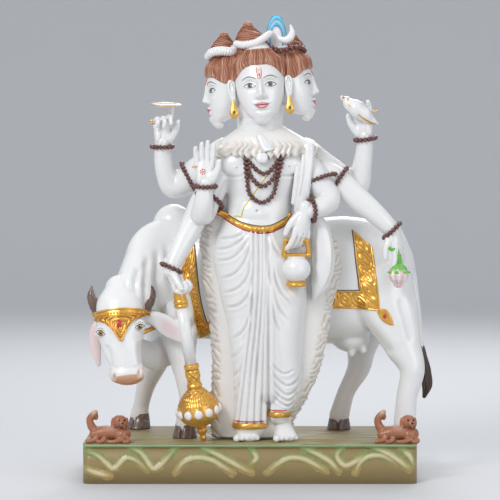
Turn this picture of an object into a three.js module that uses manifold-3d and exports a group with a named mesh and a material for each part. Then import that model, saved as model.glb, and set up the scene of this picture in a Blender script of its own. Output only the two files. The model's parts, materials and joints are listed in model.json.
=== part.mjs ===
// A painted marble shrine statue carved from one block: a three-headed, six-armed standing
// figure before a cow, two pairs of small dogs, and the base they all stand on.
// Millimetres. X runs to the viewer's right, Y away from the viewer, Z up from the underside.

import * as THREE from 'three';
import { SimplifyModifier } from 'three/addons/modifiers/SimplifyModifier.js';
import { mergeVertices } from 'three/addons/utils/BufferGeometryUtils.js';
import Module from 'manifold-3d';

// Driving dimensions
const BASE_WIDTH = 432;
const BASE_DEPTH = 200;
const BASE_TOP = 51;
const BASE_CORNER = 10;
const RELIEF_DEPTH = 3;
const BOX_CENTRE_X = 13;
const BODY_Y = -45;
const HEAD_CENTRE = [13, -50, 514];
const HEAD_LEAN = -5;
const SIDE_HEAD_TURN = 82;
const SIDE_HEAD_OUT = 33;
const SIDE_HEAD_BACK = 24;
const DISC_TILT = 8;
const HAND_WIDTH = 13;
const FINGER = 3.6;
const BANGLE = 3;
const HEM = 3.5;
const HOOF_HEIGHT = 19;
const COW_Y = 25;
const COW_HALF_WIDTH = 50;
const CLOTH_LIFT = 2.5;
const PLEATS = 3;
const PLEAT_SPACING = 9;
const HIP_FOLDS = 4;
const SHIN_FOLDS = 4;
const CAPE_LOCKS = 11;
const MANTLE_LOCKS = 13;
const TRIANGLES = 10200;
const TOUCH_GAP = 0.06;

const X = new THREE.Vector3(1, 0, 0);
const Y = new THREE.Vector3(0, 1, 0);
const Z = new THREE.Vector3(0, 0, 1);
const degrees = THREE.MathUtils.degToRad;
const mix = THREE.MathUtils.lerp;

const wasm = await Module();
wasm.setup();

// A profile for LatheGeometry: a tube from height 0 to 1 with rounded ends beyond them
function roundedProfile(rows, caps) {
  const profile = [];
  for (let i = 0; i <= caps; i++) {
    const a = (i / caps - 1) * Math.PI / 2;
    profile.push(new THREE.Vector2(Math.cos(a), Math.sin(a)));
  }
  for (let i = 1; i < rows; i++) profile.push(new THREE.Vector2(1, i / rows));
  for (let i = 0; i <= caps; i++) {
    const a = (i / caps) * Math.PI / 2;
    profile.push(new THREE.Vector2(Math.cos(a), 1 + Math.sin(a)));
  }
  return profile;
}

const curveOf = (points) => new THREE.CatmullRomCurve3(points);
const vectors = (stations) => stations.map(([x, y, z]) => new THREE.Vector3(x, y, z));
const sizes = (stations) => stations.map(([, , , w, d]) => new THREE.Vector3(w, d ?? w, 0));

// A closed body of oval rings strung along a path. Each station is x, y, z, half width and half
// depth. The width lies along the across direction; a level body keeps its rings horizontal.
function sweep(stations, { sides = 8, rows = 6, caps = 1, across = X, level = false, relief } = {}) {
  const path = curveOf(vectors(stations));
  const size = curveOf(sizes(stations));
  const geometry = new THREE.LatheGeometry(roundedProfile(rows, caps), sides);
  const position = geometry.attributes.position;
  const v = new THREE.Vector3();
  for (let i = 0; i < position.count; i++) {
    v.fromBufferAttribute(position, i);
    const t = THREE.MathUtils.clamp(v.y, 0, 1);
    const s = size.getPoint(t);
    const ahead = level ? Z.clone() : path.getTangent(t);
    const side = across.clone().addScaledVector(ahead, -across.dot(ahead)).normalize();
    const deep = new THREE.Vector3().crossVectors(ahead, side);
    const swell = relief ? 1 + relief(Math.atan2(v.z, v.x), t) : 1;
    const point = path.getPoint(t);
    point.addScaledVector(side, v.x * s.x * swell);
    point.addScaledVector(deep, v.z * s.y * swell);
    point.addScaledVector(ahead, (v.y - t) * Math.min(s.x, s.y));
    position.setXYZ(i, point.x, point.y, point.z);
  }
  return geometry;
}

// A thin three-sided carved ridge along a short list of places
function ridge(places, radius, { sides = 3, rows = 3, across = X } = {}) {
  return sweep(places.map(([x, y, z]) => [x, y, z, radius]), { sides, rows, across });
}

function blob([x, y, z], [rx, ry, rz], { sides = 7, rows = 4, turn = [0, 0, 0] } = {}) {
  const geometry = new THREE.SphereGeometry(1, sides, rows);
  geometry.scale(rx, ry, rz);
  geometry.rotateX(degrees(turn[0]));
  geometry.rotateY(degrees(turn[1]));
  geometry.rotateZ(degrees(turn[2]));
  geometry.translate(x, y, z);
  return geometry;
}

// A ring around a limb: its hole points along the given direction
function bangle([x, y, z], along, rx, ry, thick = BANGLE) {
  const geometry = new THREE.TorusGeometry(1, 0.5, 4, 12);
  const position = geometry.attributes.position;
  for (let i = 0; i < position.count; i++) {
    const a = Math.atan2(position.getY(i), position.getX(i));
    const out = (Math.hypot(position.getX(i), position.getY(i)) - 1) * 2 * thick;
    position.setXYZ(i, Math.cos(a) * (rx + out), Math.sin(a) * (ry + out), position.getZ(i) * 2 * thick);
  }
  const turn = new THREE.Quaternion().setFromUnitVectors(Z, new THREE.Vector3(...along).normalize());
  geometry.applyQuaternion(turn);
  geometry.translate(x, y, z);
  return geometry;
}

// A turned form about an axis that runs from its foot in the given direction
function turned(profile, foot, along, sides = 12) {
  const geometry = new THREE.LatheGeometry(profile.map(([r, h]) => new THREE.Vector2(r, h)), sides);
  const turn = new THREE.Quaternion().setFromUnitVectors(Y, new THREE.Vector3(...along).normalize());
  geometry.applyQuaternion(turn);
  geometry.translate(...foot);
  return geometry;
}

// Moves a list of bodies so that their own Z and -Y point along up and facing at a place
function placed(bodies, place, up, facing, scale = 1) {
  const z = new THREE.Vector3(...up).normalize();
  const y = new THREE.Vector3(...facing).negate();
  y.addScaledVector(z, -y.dot(z)).normalize();
  const x = new THREE.Vector3().crossVectors(y, z);
  const matrix = new THREE.Matrix4().makeBasis(x, y, z).scale(new THREE.Vector3(scale, scale, scale));
  matrix.setPosition(...place);
  return bodies.map((body) => body.applyMatrix4(matrix));
}

// Base

function base() {
  const w = BASE_WIDTH / 2;
  const d = BASE_DEPTH / 2;
  const r = BASE_CORNER;
  const front = -d + RELIEF_DEPTH;
  const plan = new THREE.Shape();
  plan.moveTo(-w + r, front);
  plan.absarc(w - r, front + r, r, -Math.PI / 2, 0);
  plan.absarc(w - r, d - r, r, 0, Math.PI / 2);
  plan.absarc(-w + r, d - r, r, Math.PI / 2, Math.PI);
  plan.absarc(-w + r, front + r, r, Math.PI, Math.PI * 1.5);
  const slab = new THREE.ExtrudeGeometry(plan, { depth: BASE_TOP, bevelEnabled: false, curveSegments: 3 });
  return [slab, ...rockRelief(front)];
}

// Rock folds on the front of the base: arches and slanting ribs in turn
function rockRelief(front) {
  const bodies = [];
  const arches = 5;
  const pitch = (BASE_WIDTH - 40) / arches;
  for (let i = 0; i < arches; i++) {
    const x = -BASE_WIDTH / 2 + 20 + pitch * (i + 0.5);
    const reach = pitch * 0.44;
    const rise = i % 2 ? 24 : 32;
    const arch = [[x - reach, front, 8], [x - reach * 0.3, front, rise], [x + reach * 0.3, front, rise - 3],
      [x + reach, front, 10]];
    bodies.push(ridge(arch, RELIEF_DEPTH, { across: Z }));
    bodies.push(ridge([[x + reach + 12, front, 38], [x + reach, front, 12]], RELIEF_DEPTH, { rows: 1 }));
  }
  return bodies;
}

// Standing figure

const ROBE = [
  [10, BODY_Y, 58, 27, 22], [21, BODY_Y - 2, 84, 42, 24], [24, BODY_Y - 1, 150, 45, 27],
  [21, BODY_Y - 3, 200, 50, 30], [18, BODY_Y - 2, 245, 58, 33], [11, BODY_Y, 285, 60, 33],
  [8, BODY_Y, 320, 52, 31], [9, BODY_Y, 345, 45, 28],
];
const ROBE_PATH = curveOf(vectors(ROBE));
const ROBE_SIZE = curveOf(sizes(ROBE));

// A place on the robe's skin: t runs from hem to belt, angle from the viewer's right to the front
function onRobe(t, angle, lift = 0) {
  const centre = ROBE_PATH.getPoint(t);
  const size = ROBE_SIZE.getPoint(t);
  const a = degrees(angle);
  return [centre.x + Math.cos(a) * (size.x + lift), centre.y - Math.sin(a) * (size.y + lift), centre.z];
}

// Both legs swell the robe in front, with a valley between them
function legsUnderCloth(a, t) {
  const front = Math.max(0, -Math.sin(a));
  return (0.1 * Math.cos(a * 4) - 0.03) * front * (1 - t);
}

function robe() {
  const bodies = [sweep(ROBE, { sides: 30, rows: 14, level: true, relief: legsUnderCloth })];
  for (let i = 0; i < PLEATS; i++) {
    const x = 9 + (i - (PLEATS - 1) / 2) * PLEAT_SPACING;
    bodies.push(ridge([[x + 4, -74, 318], [x + 2, -75, 240], [x, -71, 150], [x - 4, -68, 66]], 4,
      { rows: 4 }));
  }
  for (let i = 0; i < HIP_FOLDS; i++) {
    const top = mix(0.96, 0.74, i / (HIP_FOLDS - 1));
    const fold = [onRobe(top, 150), onRobe(top - 0.14, 115), onRobe(top - 0.22, 75), onRobe(top - 0.2, 35)];
    bodies.push(ridge(fold, 3, { across: Z }));
  }
  for (let i = 0; i < SHIN_FOLDS; i++) {
    const z = mix(215, 100, i / (SHIN_FOLDS - 1));
    const width = mix(22, 15, i / (SHIN_FOLDS - 1));
    const drape = [[43 - width, -69, z + 12], [36, -73, z], [52, -71, z - 1], [43 + width, -60, z + 18]];
    bodies.push(ridge(drape, 3.4, { rows: 4, across: Z }));
  }
  bodies.push(hem([-1, -48, 66], 24, 24), hem([38, -46, 82], 17, 23));
  bodies.push(ridge([onRobe(1, 175), onRobe(0.95, 130, 2), onRobe(0.9, 95, 2), onRobe(0.93, 55, 2),
    onRobe(1, 20)], 4.5, { rows: 6, across: Z }));
  return bodies;
}

function hem(place, rx, ry) {
  return bangle(place, [0, 0.12, 1], rx - 1, ry - 1, HEM);
}

function foot(x, y, turn) {
  const bodies = [
    sweep([[0, 22, 20, 12, 12], [0, 4, 15, 12, 11], [0, -12, 9, 15, 8], [0, -20, 6, 16, 6]],
      { sides: 7, rows: 3 }),
  ];
  const toes = 5;
  for (let i = 0; i < toes; i++) {
    const side = -13 + i * 6.2;
    const reach = -27 + i * 1.6;
    const size = i === 0 ? 4.6 : 3.5;
    bodies.push(sweep([[side, -18, 5, size], [side * 1.05, reach, 4, size]], { sides: 4, rows: 1 }));
  }
  const matrix = new THREE.Matrix4().makeRotationZ(degrees(turn)).setPosition(x, y, BASE_TOP);
  return bodies.map((body) => body.applyMatrix4(matrix));
}

function torso() {
  const bodies = [
    sweep([[9, BODY_Y, 338, 44, 27], [13, BODY_Y, 362, 43, 26], [14, BODY_Y, 385, 48, 29],
      [14, BODY_Y, 405, 53, 31], [17, BODY_Y + 3, 425, 60, 29], [19, BODY_Y + 5, 440, 52, 22],
      [16, BODY_Y + 4, 455, 27, 19]], { sides: 18, rows: 10, level: true }),
    sweep([[13, -42, 448, 23, 20], [13, -44, 480, 22, 20]], { rows: 1, level: true }),
    blob([-10, -66, 408], [24, 11, 17]),
    blob([41, -66, 409], [24, 11, 17]),
    blob([8, -62, 352], [26, 13, 19]),
  ];
  return bodies;
}

// The fur cape over the shoulders, its lower edge cut into locks
function cape() {
  const locks = (a, t) => 0.07 * Math.cos(a * CAPE_LOCKS) * Math.max(0, 1 - t * 2);
  return [
    sweep([[20, -40, 429, 72, 37], [19, -40, 440, 64, 33], [17, -40, 452, 42, 26]],
      { sides: CAPE_LOCKS * 2, rows: 2, level: true, relief: locks }),
    ridge([[5, -78, 446], [20, -80, 424]], 5, { rows: 1 }),
    blob([16, -80, 420], [7, 5, 7], { sides: 5, rows: 3 }),
  ];
}

// The long mantle behind the figure: left and right edges at each height
const MANTLE = [
  [-38, 57, 56], [-38, 60, 75], [-42, 76, 102], [-46, 92, 142], [-50, 100, 178], [-57, 111, 237],
  [-62, 120, 272], [-65, 108, 307], [-60, 84, 345], [-48, 78, 395],
];

function mantle() {
  const stations = MANTLE.map(([left, right, z]) => [(left + right) / 2, -36, z, (right - left) / 2, 17]);
  const locks = (a, t) => 0.03 * Math.cos(a * 2) * Math.cos(t * Math.PI * 2 * MANTLE_LOCKS);
  return [sweep(stations, { sides: 20, rows: MANTLE_LOCKS * 2, level: true, relief: locks })];
}

// The smooth lobe of cloth that hangs from the belt beside the water pot
function sash() {
  return [
    sweep([[84, -56, 242, 5, 7], [92, -58, 262, 13, 12], [97, -58, 300, 14, 13], [88, -54, 335, 10, 12],
      [70, -52, 345, 8, 10]], { sides: 7, rows: 4 }),
    sweep([[80, -62, 425, 7, 5], [76, -66, 385, 6, 5], [72, -64, 345, 6, 6]], { sides: 4, rows: 2 }),
  ];
}

// Heads. Each is built upright with its face along -Y, its eyes level with the origin.

function faceFeatures() {
  const bodies = [
    sweep([[0, -34, 9, 3], [0, -40, -5, 4], [0, -42, -12, 6, 5]], { sides: 4, rows: 2 }),
    sweep([[-9, -34, -23, 1.5], [0, -37, -25, 4, 4], [9, -34, -23, 1.5]], { sides: 4, rows: 2, across: Z }),
    blob([0, -29, -38], [8, 7, 6], { sides: 5, rows: 3 }),
  ];
  for (const side of [-1, 1]) {
    bodies.push(blob([side * 13.5, -30, 0], [8, 6, 4], { sides: 5, rows: 3 }));
    bodies.push(ridge([[side * 5, -32, 9], [side * 14, -32, 12], [side * 23, -26, 9]], 3.4,
      { rows: 2, across: Z }));
    bodies.push(sweep([[side * 33, -3, -28, 4, 4], [side * 34, -1, 8, 4, 7]], { sides: 4, rows: 2 }));
  }
  return bodies;
}

function head() {
  const skull = [
    [0, -25, -42, 12, 8], [0, -19, -34, 21, 16], [0, -13, -21, 28, 23], [0, -7, -5, 32, 29],
    [0, -3, 12, 33, 34], [0, 0, 28, 31, 34], [0, 3, 40, 20, 23],
  ];
  const hair = blob([0, 9, 12], [35, 35, 37], { sides: 14, rows: 9 });
  const bodies = [sweep(skull, { sides: 14, rows: 10, caps: 2, level: true }), hair, ...faceFeatures()];
  for (const side of [-1, 1]) {
    bodies.push(ridge([[side * 3, -24, 34], [side * 25, -18, 30], [side * 35, -6, 8]], 6,
      { rows: 2, across: Z }));
  }
  return bodies;
}

// A coiled topknot whose rings narrow to a tip
function topknot([x, y, z], radius, height) {
  const coils = (a, t) => 0.07 * Math.cos(t * Math.PI * 5 + a);
  return sweep([[x, y, z, radius], [x, y, z + height * 0.4, radius * 0.95],
    [x, y, z + height * 0.75, radius * 0.66], [x, y, z + height * 0.88, radius * 0.42]],
    { sides: 12, rows: 10, caps: 2, level: true, relief: coils });
}

// A roll of small white segments laid around the hair
function roll(from, over, to, radius) {
  const segments = (a, t) => 0.16 * Math.cos(t * Math.PI * 8);
  return sweep([[...from, radius], [...over, radius], [...to, radius]],
    { sides: 5, rows: 8, across: Y, relief: segments });
}

function heads() {
  const [cx, cy, cz] = HEAD_CENTRE;
  const bodies = [...head()];
  for (const side of [-1, 1]) {
    const turn = degrees(side * SIDE_HEAD_TURN);
    const matrix = new THREE.Matrix4().makeRotationZ(turn);
    matrix.setPosition(side * SIDE_HEAD_OUT, SIDE_HEAD_BACK, 0);
    bodies.push(...head().map((body) => body.applyMatrix4(matrix)));
  }
  const lean = new THREE.Matrix4().makeRotationY(degrees(HEAD_LEAN)).setPosition(cx, cy, cz);
  bodies.forEach((body) => body.applyMatrix4(lean));
  bodies.push(topknot([0, -36, 562], 21, 38), topknot([-36, -22, 550], 18, 37));
  bodies.push(topknot([51, -22, 556], 18, 26));
  bodies.push(roll([-20, -52, 566], [2, -58, 569], [30, -46, 580], 5));
  bodies.push(roll([-58, -32, 556], [-44, -42, 553], [-20, -40, 560], 5));
  bodies.push(ridge([[30, -44, 562], [50, -42, 561], [70, -30, 567]], 4, { across: Z }));
  return bodies.concat(crestArch(), crescent());
}

// The arched jet of water that springs from the hair
function crestArch() {
  const half = 14;
  const shape = new THREE.Shape();
  shape.moveTo(-half, -6);
  shape.lineTo(half, -6);
  shape.bezierCurveTo(half + 3, 16, 7, 28, 0, 28);
  shape.bezierCurveTo(-7, 28, -half - 3, 16, -half, -6);
  const arch = new THREE.ExtrudeGeometry(shape, { depth: 9, bevelEnabled: false, curveSegments: 4 });
  arch.rotateX(Math.PI / 2);
  arch.translate(35, -34, 580);
  return [arch];
}

function crescent() {
  return [sweep([[37, -46, 585, 2], [40, -44, 572, 7], [47, -44, 573, 7], [53, -46, 592, 1.5]],
    { sides: 4, rows: 4, across: Y })];
}

// Arms and hands

// A finger from its knuckle: it starts along Z and bends towards -Y by the bend at each joint
function finger(x, z, length, bend, radius = FINGER, spread = 0) {
  const stations = [[x, 0, z, radius]];
  let angle = 0;
  for (const part of [0.42, 0.32, 0.26]) {
    angle += bend;
    const [px, py, pz] = stations[stations.length - 1];
    const step = length * part;
    stations.push([px + spread * part, py - Math.sin(degrees(angle)) * step,
      pz + Math.cos(degrees(angle)) * step, radius * 0.92]);
  }
  return sweep(stations, { sides: 4, rows: 3 });
}

// A hand with its palm along -Y and fingers along Z. The thumb lies on the +X side, or -X.
function hand({ bends, thumb = 1, thumbOut = 9, lengths = [24, 27, 25, 20] }) {
  const w = HAND_WIDTH;
  const bodies = [
    sweep([[0, 0, -4, 8.5, 7.5], [0, 0, 12, w - 1, 7.5], [0, 0, 27, w - 1, 5.4]], { sides: 6, rows: 2 }),
    sweep([[thumb * 8, -2, 6, 5], [thumb * 15, -6, 16, 4.4], [thumb * (w + thumbOut * 0.4), -9, 27, 3.6]],
      { sides: 4, rows: 2 }),
  ];
  bends.forEach((bend, i) => {
    const x = thumb * (10 - i * 6.6);
    bodies.push(finger(x, 28, lengths[i], bend, FINGER, thumb * (1.5 - i)));
  });
  return bodies;
}

// An arm is its shoulder, elbow and wrist with the limb's half width at each
function arm(stations, bands) {
  const bodies = [sweep(stations, { sides: 10, rows: 10, across: Y })];
  for (const [place, along, r, thick] of bands) bodies.push(bangle(place, along, r, r, thick));
  return bodies;
}

function arms() {
  const bodies = [
    ...arm([[-34, -28, 428, 20], [-68, -18, 404, 19], [-101, -12, 384, 16.5], [-112, -18, 405, 13.5],
      [-116, -25, 432, 10.5]], [[[-116, -25, 434], [0, -0.1, 1], 11.5, BANGLE],
      [[-80, -16, 397], [-0.8, 0, -0.5], 18, BANGLE]]),
    ...arm([[-30, -40, 415, 17], [-50, -58, 372, 16], [-61, -70, 348, 15.5], [-60, -82, 362, 13],
      [-58, -84, 380, 10.5]], [[[-58, -84, 381], [0, -0.1, 1], 11.5, BANGLE]]),
    ...arm([[-36, -34, 405, 18], [-62, -44, 362, 17], [-76, -58, 332, 15.5], [-90, -70, 305, 13],
      [-101, -78, 282, 10.5]], [[[-100, -77, 284], [-0.4, -0.3, -0.9], 11.5, BANGLE]]),
    ...arm([[72, -28, 428, 20], [105, -18, 404, 19], [141, -12, 385, 16.5], [148, -18, 410, 13],
      [152, -25, 442, 10.5]], [[[152, -25, 443], [0.1, -0.1, 1], 11.5, BANGLE]]),
    ...arm([[66, -42, 420, 18], [84, -48, 396, 18], [102, -56, 366, 16], [90, -70, 356, 13],
      [76, -78, 352, 10.5]], [[[77, -78, 353], [-1, -0.5, -0.3], 11.5, BANGLE],
      [[88, -50, 390], [0.5, -0.2, -0.8], 17.5, BANGLE]]),
    ...arm([[80, -26, 410, 19], [112, -32, 392, 18], [140, -38, 368, 16.5], [166, -44, 346, 13.5],
      [184, -46, 328, 11]], [[[184, -46, 328], [0.7, 0, -0.7], 12, BANGLE],
      [[118, -33, 388], [0.8, -0.1, -0.5], 17.5, BANGLE]]),
  ];
  bodies.push(
    ...placed(hand({ bends: [4, 45, 55, 60], thumb: 1 }), [-116, -26, 440], [0.04, 0, 1], [0.4, -1, 0]),
    ...placed(hand({ bends: [8, 8, 10, 14], thumb: 1 }), [-58, -86, 386], [-0.02, 0.05, 1], [0.15, -1, 0]),
    ...placed(hand({ bends: [60, 62, 62, 60], thumb: 1 }), [-102, -75, 276], [0.35, -0.1, -1], [1, -0.3, 0]),
    ...placed(hand({ bends: [30, 30, 34, 38], thumb: -1 }), [152, -27, 449], [-0.1, 0, 1], [-0.5, -1, 0]),
    ...placed(hand({ bends: [18, 26, 28, 30], thumb: -1 }), [70, -82, 348], [-0.15, -0.05, -1],
      [-0.6, 1, 0.2]),
    ...placed(hand({ bends: [16, 16, 18, 20], thumb: -1 }), [188, -47, 322], [0.25, -0.05, -1],
      [-0.8, 0.6, 0]));
  return bodies;
}

// What the hands hold

function discus() {
  const rim = new THREE.CylinderGeometry(19.5, 19.5, 4, 16);
  rim.rotateX(degrees(90 + DISC_TILT));
  rim.translate(-110, -33, 491);
  return [rim];
}

function conch() {
  return [
    sweep([[126, -34, 494, 4], [133, -36, 486, 11], [140, -36, 474, 11], [144, -34, 462, 6]],
      { sides: 7, rows: 3 }),
  ];
}

function mace() {
  const profile = [
    [0, 0], [3, 1], [5, 8], [14, 15], [25, 26], [28, 38], [23, 52], [12, 64], [9, 71], [11, 78], [8, 86],
    [10, 93], [7.5, 100], [8.5, 182], [9.5, 187], [8, 194], [8.5, 198], [4, 212], [0, 216],
  ];
  return [turned(profile, [-60.5, -60, BASE_TOP - 0.5], [-0.158, -0.12, 1], 12)];
}

// The water pot with its frame handle, held against the robe
function pot() {
  const x = 60;
  const y = -80;
  const body = [
    [0, 0], [13, 0], [9, 7], [18, 16], [19, 24], [13, 36], [16.5, 38], [16.5, 42], [0, 42],
  ];
  const frame = new THREE.Shape();
  frame.moveTo(-17.5, 0);
  frame.lineTo(17.5, 0);
  frame.lineTo(14, 24);
  frame.lineTo(-14, 24);
  const opening = new THREE.Path();
  opening.moveTo(-10, 5);
  opening.lineTo(-9, 17);
  opening.lineTo(9, 17);
  opening.lineTo(10, 5);
  frame.holes.push(opening);
  const handle = new THREE.ExtrudeGeometry(frame, { depth: 7, bevelEnabled: false });
  handle.rotateX(Math.PI / 2);
  handle.translate(x, y + 3.5, 292);
  return [turned(body, [x, y, 254], [0, 0, 1], 12), handle];
}

function lotus() {
  return [
    turned([[0, 0], [9, 3], [15, 11], [16, 17], [12, 22], [5, 24], [4, 46], [0, 48]], [194, -54, 251],
      [-0.05, 0, 1], 8),
  ];
}

// Three strands of beads over the chest, each hanging lower and wider than the last
function strands() {
  const bodies = [];
  const mid = 18;
  const strandCount = 3;
  for (let i = 0; i < strandCount; i++) {
    const low = 412 - i * 15;
    const half = 24 + i * 3;
    const bead = [[mid - half, -73, 426], [mid - half * 0.8, -79, low + 9], [mid - 2, -80, low],
      [mid + half * 0.7, -80, low + 8], [mid + half, -74, 426]];
    bodies.push(ridge(bead, 4.4, { rows: 8, across: Y }));
  }
  return bodies;
}

// Cow

function cowBody() {
  const y = COW_Y;
  const w = COW_HALF_WIDTH;
  const trunk = [
    [-104, y - 6, 262, 58, 36], [-76, y, 260, 80, w - 6], [-30, y, 258, 82, w], [30, y, 256, 82, w + 1],
    [80, y, 256, 84, w + 1], [130, y, 258, 86, w - 1], [160, y, 260, 80, w - 3], [182, y, 258, 66, w - 9],
  ];
  const neck = [
    [-88, y, 268, 80, 40], [-116, y - 10, 266, 72, 36], [-138, y - 28, 252, 58, 32],
    [-154, -34, 236, 40, 28],
  ];
  const bodies = [
    sweep(trunk, { sides: 20, rows: 12, across: Z, caps: 3 }),
    sweep(neck, { sides: 16, rows: 8, across: Z, caps: 3 }),
    blob([-103, y, 330], [28, 22, 30], { sides: 12, rows: 8 }),
    sweep([[-150, -20, 170, 14, 8], [-128, -2, 158, 20, 9], [-100, 16, 172, 24, 10]],
      { sides: 6, rows: 3, across: Z }),
    blob([136, y, 178], [26, 22, 18]),
    blob([136, y - 12, 160], [5, 5, 7], { sides: 5, rows: 3 }),
    blob([152, y - 10, 164], [5, 5, 7], { sides: 5, rows: 3 }),
  ];
  for (let i = 0; i < 4; i++) {
    const x = -112 - i * 15;
    const fold = [[x + 6, -19 - i * 6, 300 - i * 14], [x, -24 - i * 6, 250 - i * 8],
      [x + 4, -20 - i * 6, 205 - i * 6]];
    bodies.push(ridge(fold, 5, { rows: 2 }));
  }
  return bodies;
}

function hoof(x, y) {
  return sweep([[x, y, BASE_TOP - 1, 16, 15], [x, y, BASE_TOP + HOOF_HEIGHT - 8, 14, 13]],
    { sides: 7, rows: 1, level: true });
}

function leg(stations) {
  const [x, y] = stations[stations.length - 1];
  return [sweep(stations, { sides: 10, rows: 9 }), hoof(x, y)];
}

function cowLegs() {
  return [
    ...leg([[-96, 4, 215, 34, 24], [-92, -6, 165, 20, 18], [-86, -14, 128, 13, 13], [-82, -20, 98, 11.5, 12],
      [-86, -23, 66, 13, 12]]),
    ...leg([[-112, 52, 205, 28, 24], [-126, 64, 148, 17, 16], [-142, 74, 112, 13, 13],
      [-149, 78, 84, 11, 11], [-152, 78, 66, 13, 12]]),
    ...leg([[170, -2, 258, 46, 26], [188, -8, 212, 38, 26], [203, -14, 172, 25, 20],
      [215, -18, 141, 17, 16], [208, -20, 104, 14, 13], [205, -22, 66, 15, 13]]),
    ...leg([[158, 54, 200, 34, 26], [152, 64, 160, 20, 18], [149, 66, 136, 16, 15], [132, 68, 102, 12, 12],
      [122, 70, 66, 14, 13]]),
  ];
}

function cowHead() {
  const front = [
    [-170, -44, 250, 20, 18], [-170, -56, 228, 31, 24], [-169, -64, 198, 32, 25], [-164, -74, 170, 26, 21],
    [-160, -81, 150, 24, 17], [-159, -83, 138, 23, 13],
  ];
  const bodies = [
    sweep(front, { sides: 14, rows: 9 }),
    blob([-159, -85, 141], [26, 14, 15], { sides: 12, rows: 7 }),
    sweep([[-199, -46, 222, 9], [-207, -48, 236, 7], [-206, -50, 250, 2]], { sides: 5, rows: 3 }),
    sweep([[-139, -44, 225, 9], [-131, -46, 240, 7.5], [-133, -48, 254, 2]], { sides: 5, rows: 3 }),
    sweep([[-192, -46, 210, 8, 6], [-203, -46, 190, 9, 6], [-202, -48, 168, 8, 5], [-197, -50, 148, 4, 4]],
      { sides: 5, rows: 4 }),
    sweep([[-140, -42, 210, 7, 4], [-118, -40, 206, 14, 5], [-98, -42, 192, 12, 4], [-88, -42, 182, 5, 3]],
      { sides: 5, rows: 4, across: Z }),
    ridge([[-190, -42, 236], [-172, -46, 259], [-144, -42, 238]], 4, { rows: 4, across: Z }),
    forehead(),
  ];
  for (const [x, z] of [[-194, 193], [-142, 201]]) {
    bodies.push(blob([x, -76, z], [8, 6, 6], { sides: 5, rows: 3 }));
  }
  return bodies;
}

// The pointed ornament across the cow's forehead
function forehead() {
  const shape = new THREE.Shape();
  shape.moveTo(-35, 2);
  shape.quadraticCurveTo(0, 18, 36, 6);
  shape.lineTo(34, -5);
  shape.quadraticCurveTo(14, -10, 3, -30);
  shape.quadraticCurveTo(-10, -12, -35, -9);
  const plate = new THREE.ExtrudeGeometry(shape, { depth: 10, bevelEnabled: false, curveSegments: 3 });
  plate.rotateX(degrees(72));
  plate.translate(-170, -80, 213);
  return plate;
}

// The saddle cloth: a slight swelling of the trunk with raised borders
function saddleCloth() {
  const y = COW_Y;
  const w = COW_HALF_WIDTH + CLOTH_LIFT;
  const front = y - w - 1;
  return [
    sweep([[-62, y, 264, 80, w], [30, y, 264, 80, w + 1], [80, y, 264, 82, w + 1], [160, y, 266, 80, w - 2]],
      { sides: 14, rows: 3, across: Z }),
    ridge([[138, front + 9, 318], [146, front, 280], [156, front + 3, 226]], 5, { rows: 2 }),
    ridge([[163, front + 12, 308], [168, front + 6, 270], [172, front + 9, 218]], 4, { rows: 2 }),
    ridge([[104, front + 4, 234], [130, front + 3, 233], [156, front + 5, 233]], 4, { rows: 1, across: Z }),
    ridge([[100, front + 6, 216], [135, front + 6, 216], [172, front + 10, 218]], 4, { rows: 1, across: Z }),
  ];
}

function cowTail() {
  return [
    sweep([[198, 20, 312, 12], [213, 16, 276, 8], [221, 12, 236, 5], [226, 10, 195, 4.5],
      [229, 8, 160, 5]], { sides: 7, rows: 8 }),
    sweep([[229, 8, 162, 5], [234, 6, 138, 7], [236, 6, 118, 6.5], [232, 6, 104, 3]], { sides: 5, rows: 3 }),
  ];
}

// Dogs

// One lying dog along X. The first of each pair lifts its head, the second looks out over it.
function dog(x, y, raised) {
  const trunk = [[-16, 0, 13, 8, 8], [-4, 0, 13, 9, 9], [10, 0, 12, 9, 10], [18, 1, 10, 7, 8]];
  const bodies = [
    sweep(trunk, { sides: 6, rows: 3, across: Z }),
    blob([12, -4, 10], [10, 6, 10], { sides: 6, rows: 3 }),
    ridge([[-15, -5, 11], [-19, -7, 3], [-26, -7, 2]], 4, { rows: 2, across: Y }),
    ridge([[12, -8, 3], [-2, -9, 2]], 4, { rows: 1, across: Y }),
  ];
  if (raised) {
    bodies.push(sweep([[-16, 0, 16, 7, 7], [-19, 0, 26, 6, 6], [-15, -1, 36, 4, 4], [-11, -1, 40, 2.5, 3]],
      { sides: 5, rows: 3, across: Y }));
    bodies.push(ridge([[-20, -4, 32], [-15, -7, 20]], 4, { rows: 1, across: Y }));
  } else {
    bodies.push(blob([12, -10, 25], [9, 8, 8], { sides: 6, rows: 4 }));
    bodies.push(blob([15, -16, 22], [5, 5, 4], { sides: 5, rows: 3 }));
    bodies.push(ridge([[5, -10, 29], [2, -11, 20]], 4, { rows: 1, across: Y }));
  }
  bodies.forEach((body) => body.translate(x, y, BASE_TOP - 1));
  return bodies;
}

function dogs() {
  const bodies = [];
  for (const x of [-182, 192]) {
    bodies.push(...dog(x, -82, true), ...dog(x + 6, -66, false));
  }
  return bodies;
}

// Joining

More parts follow.
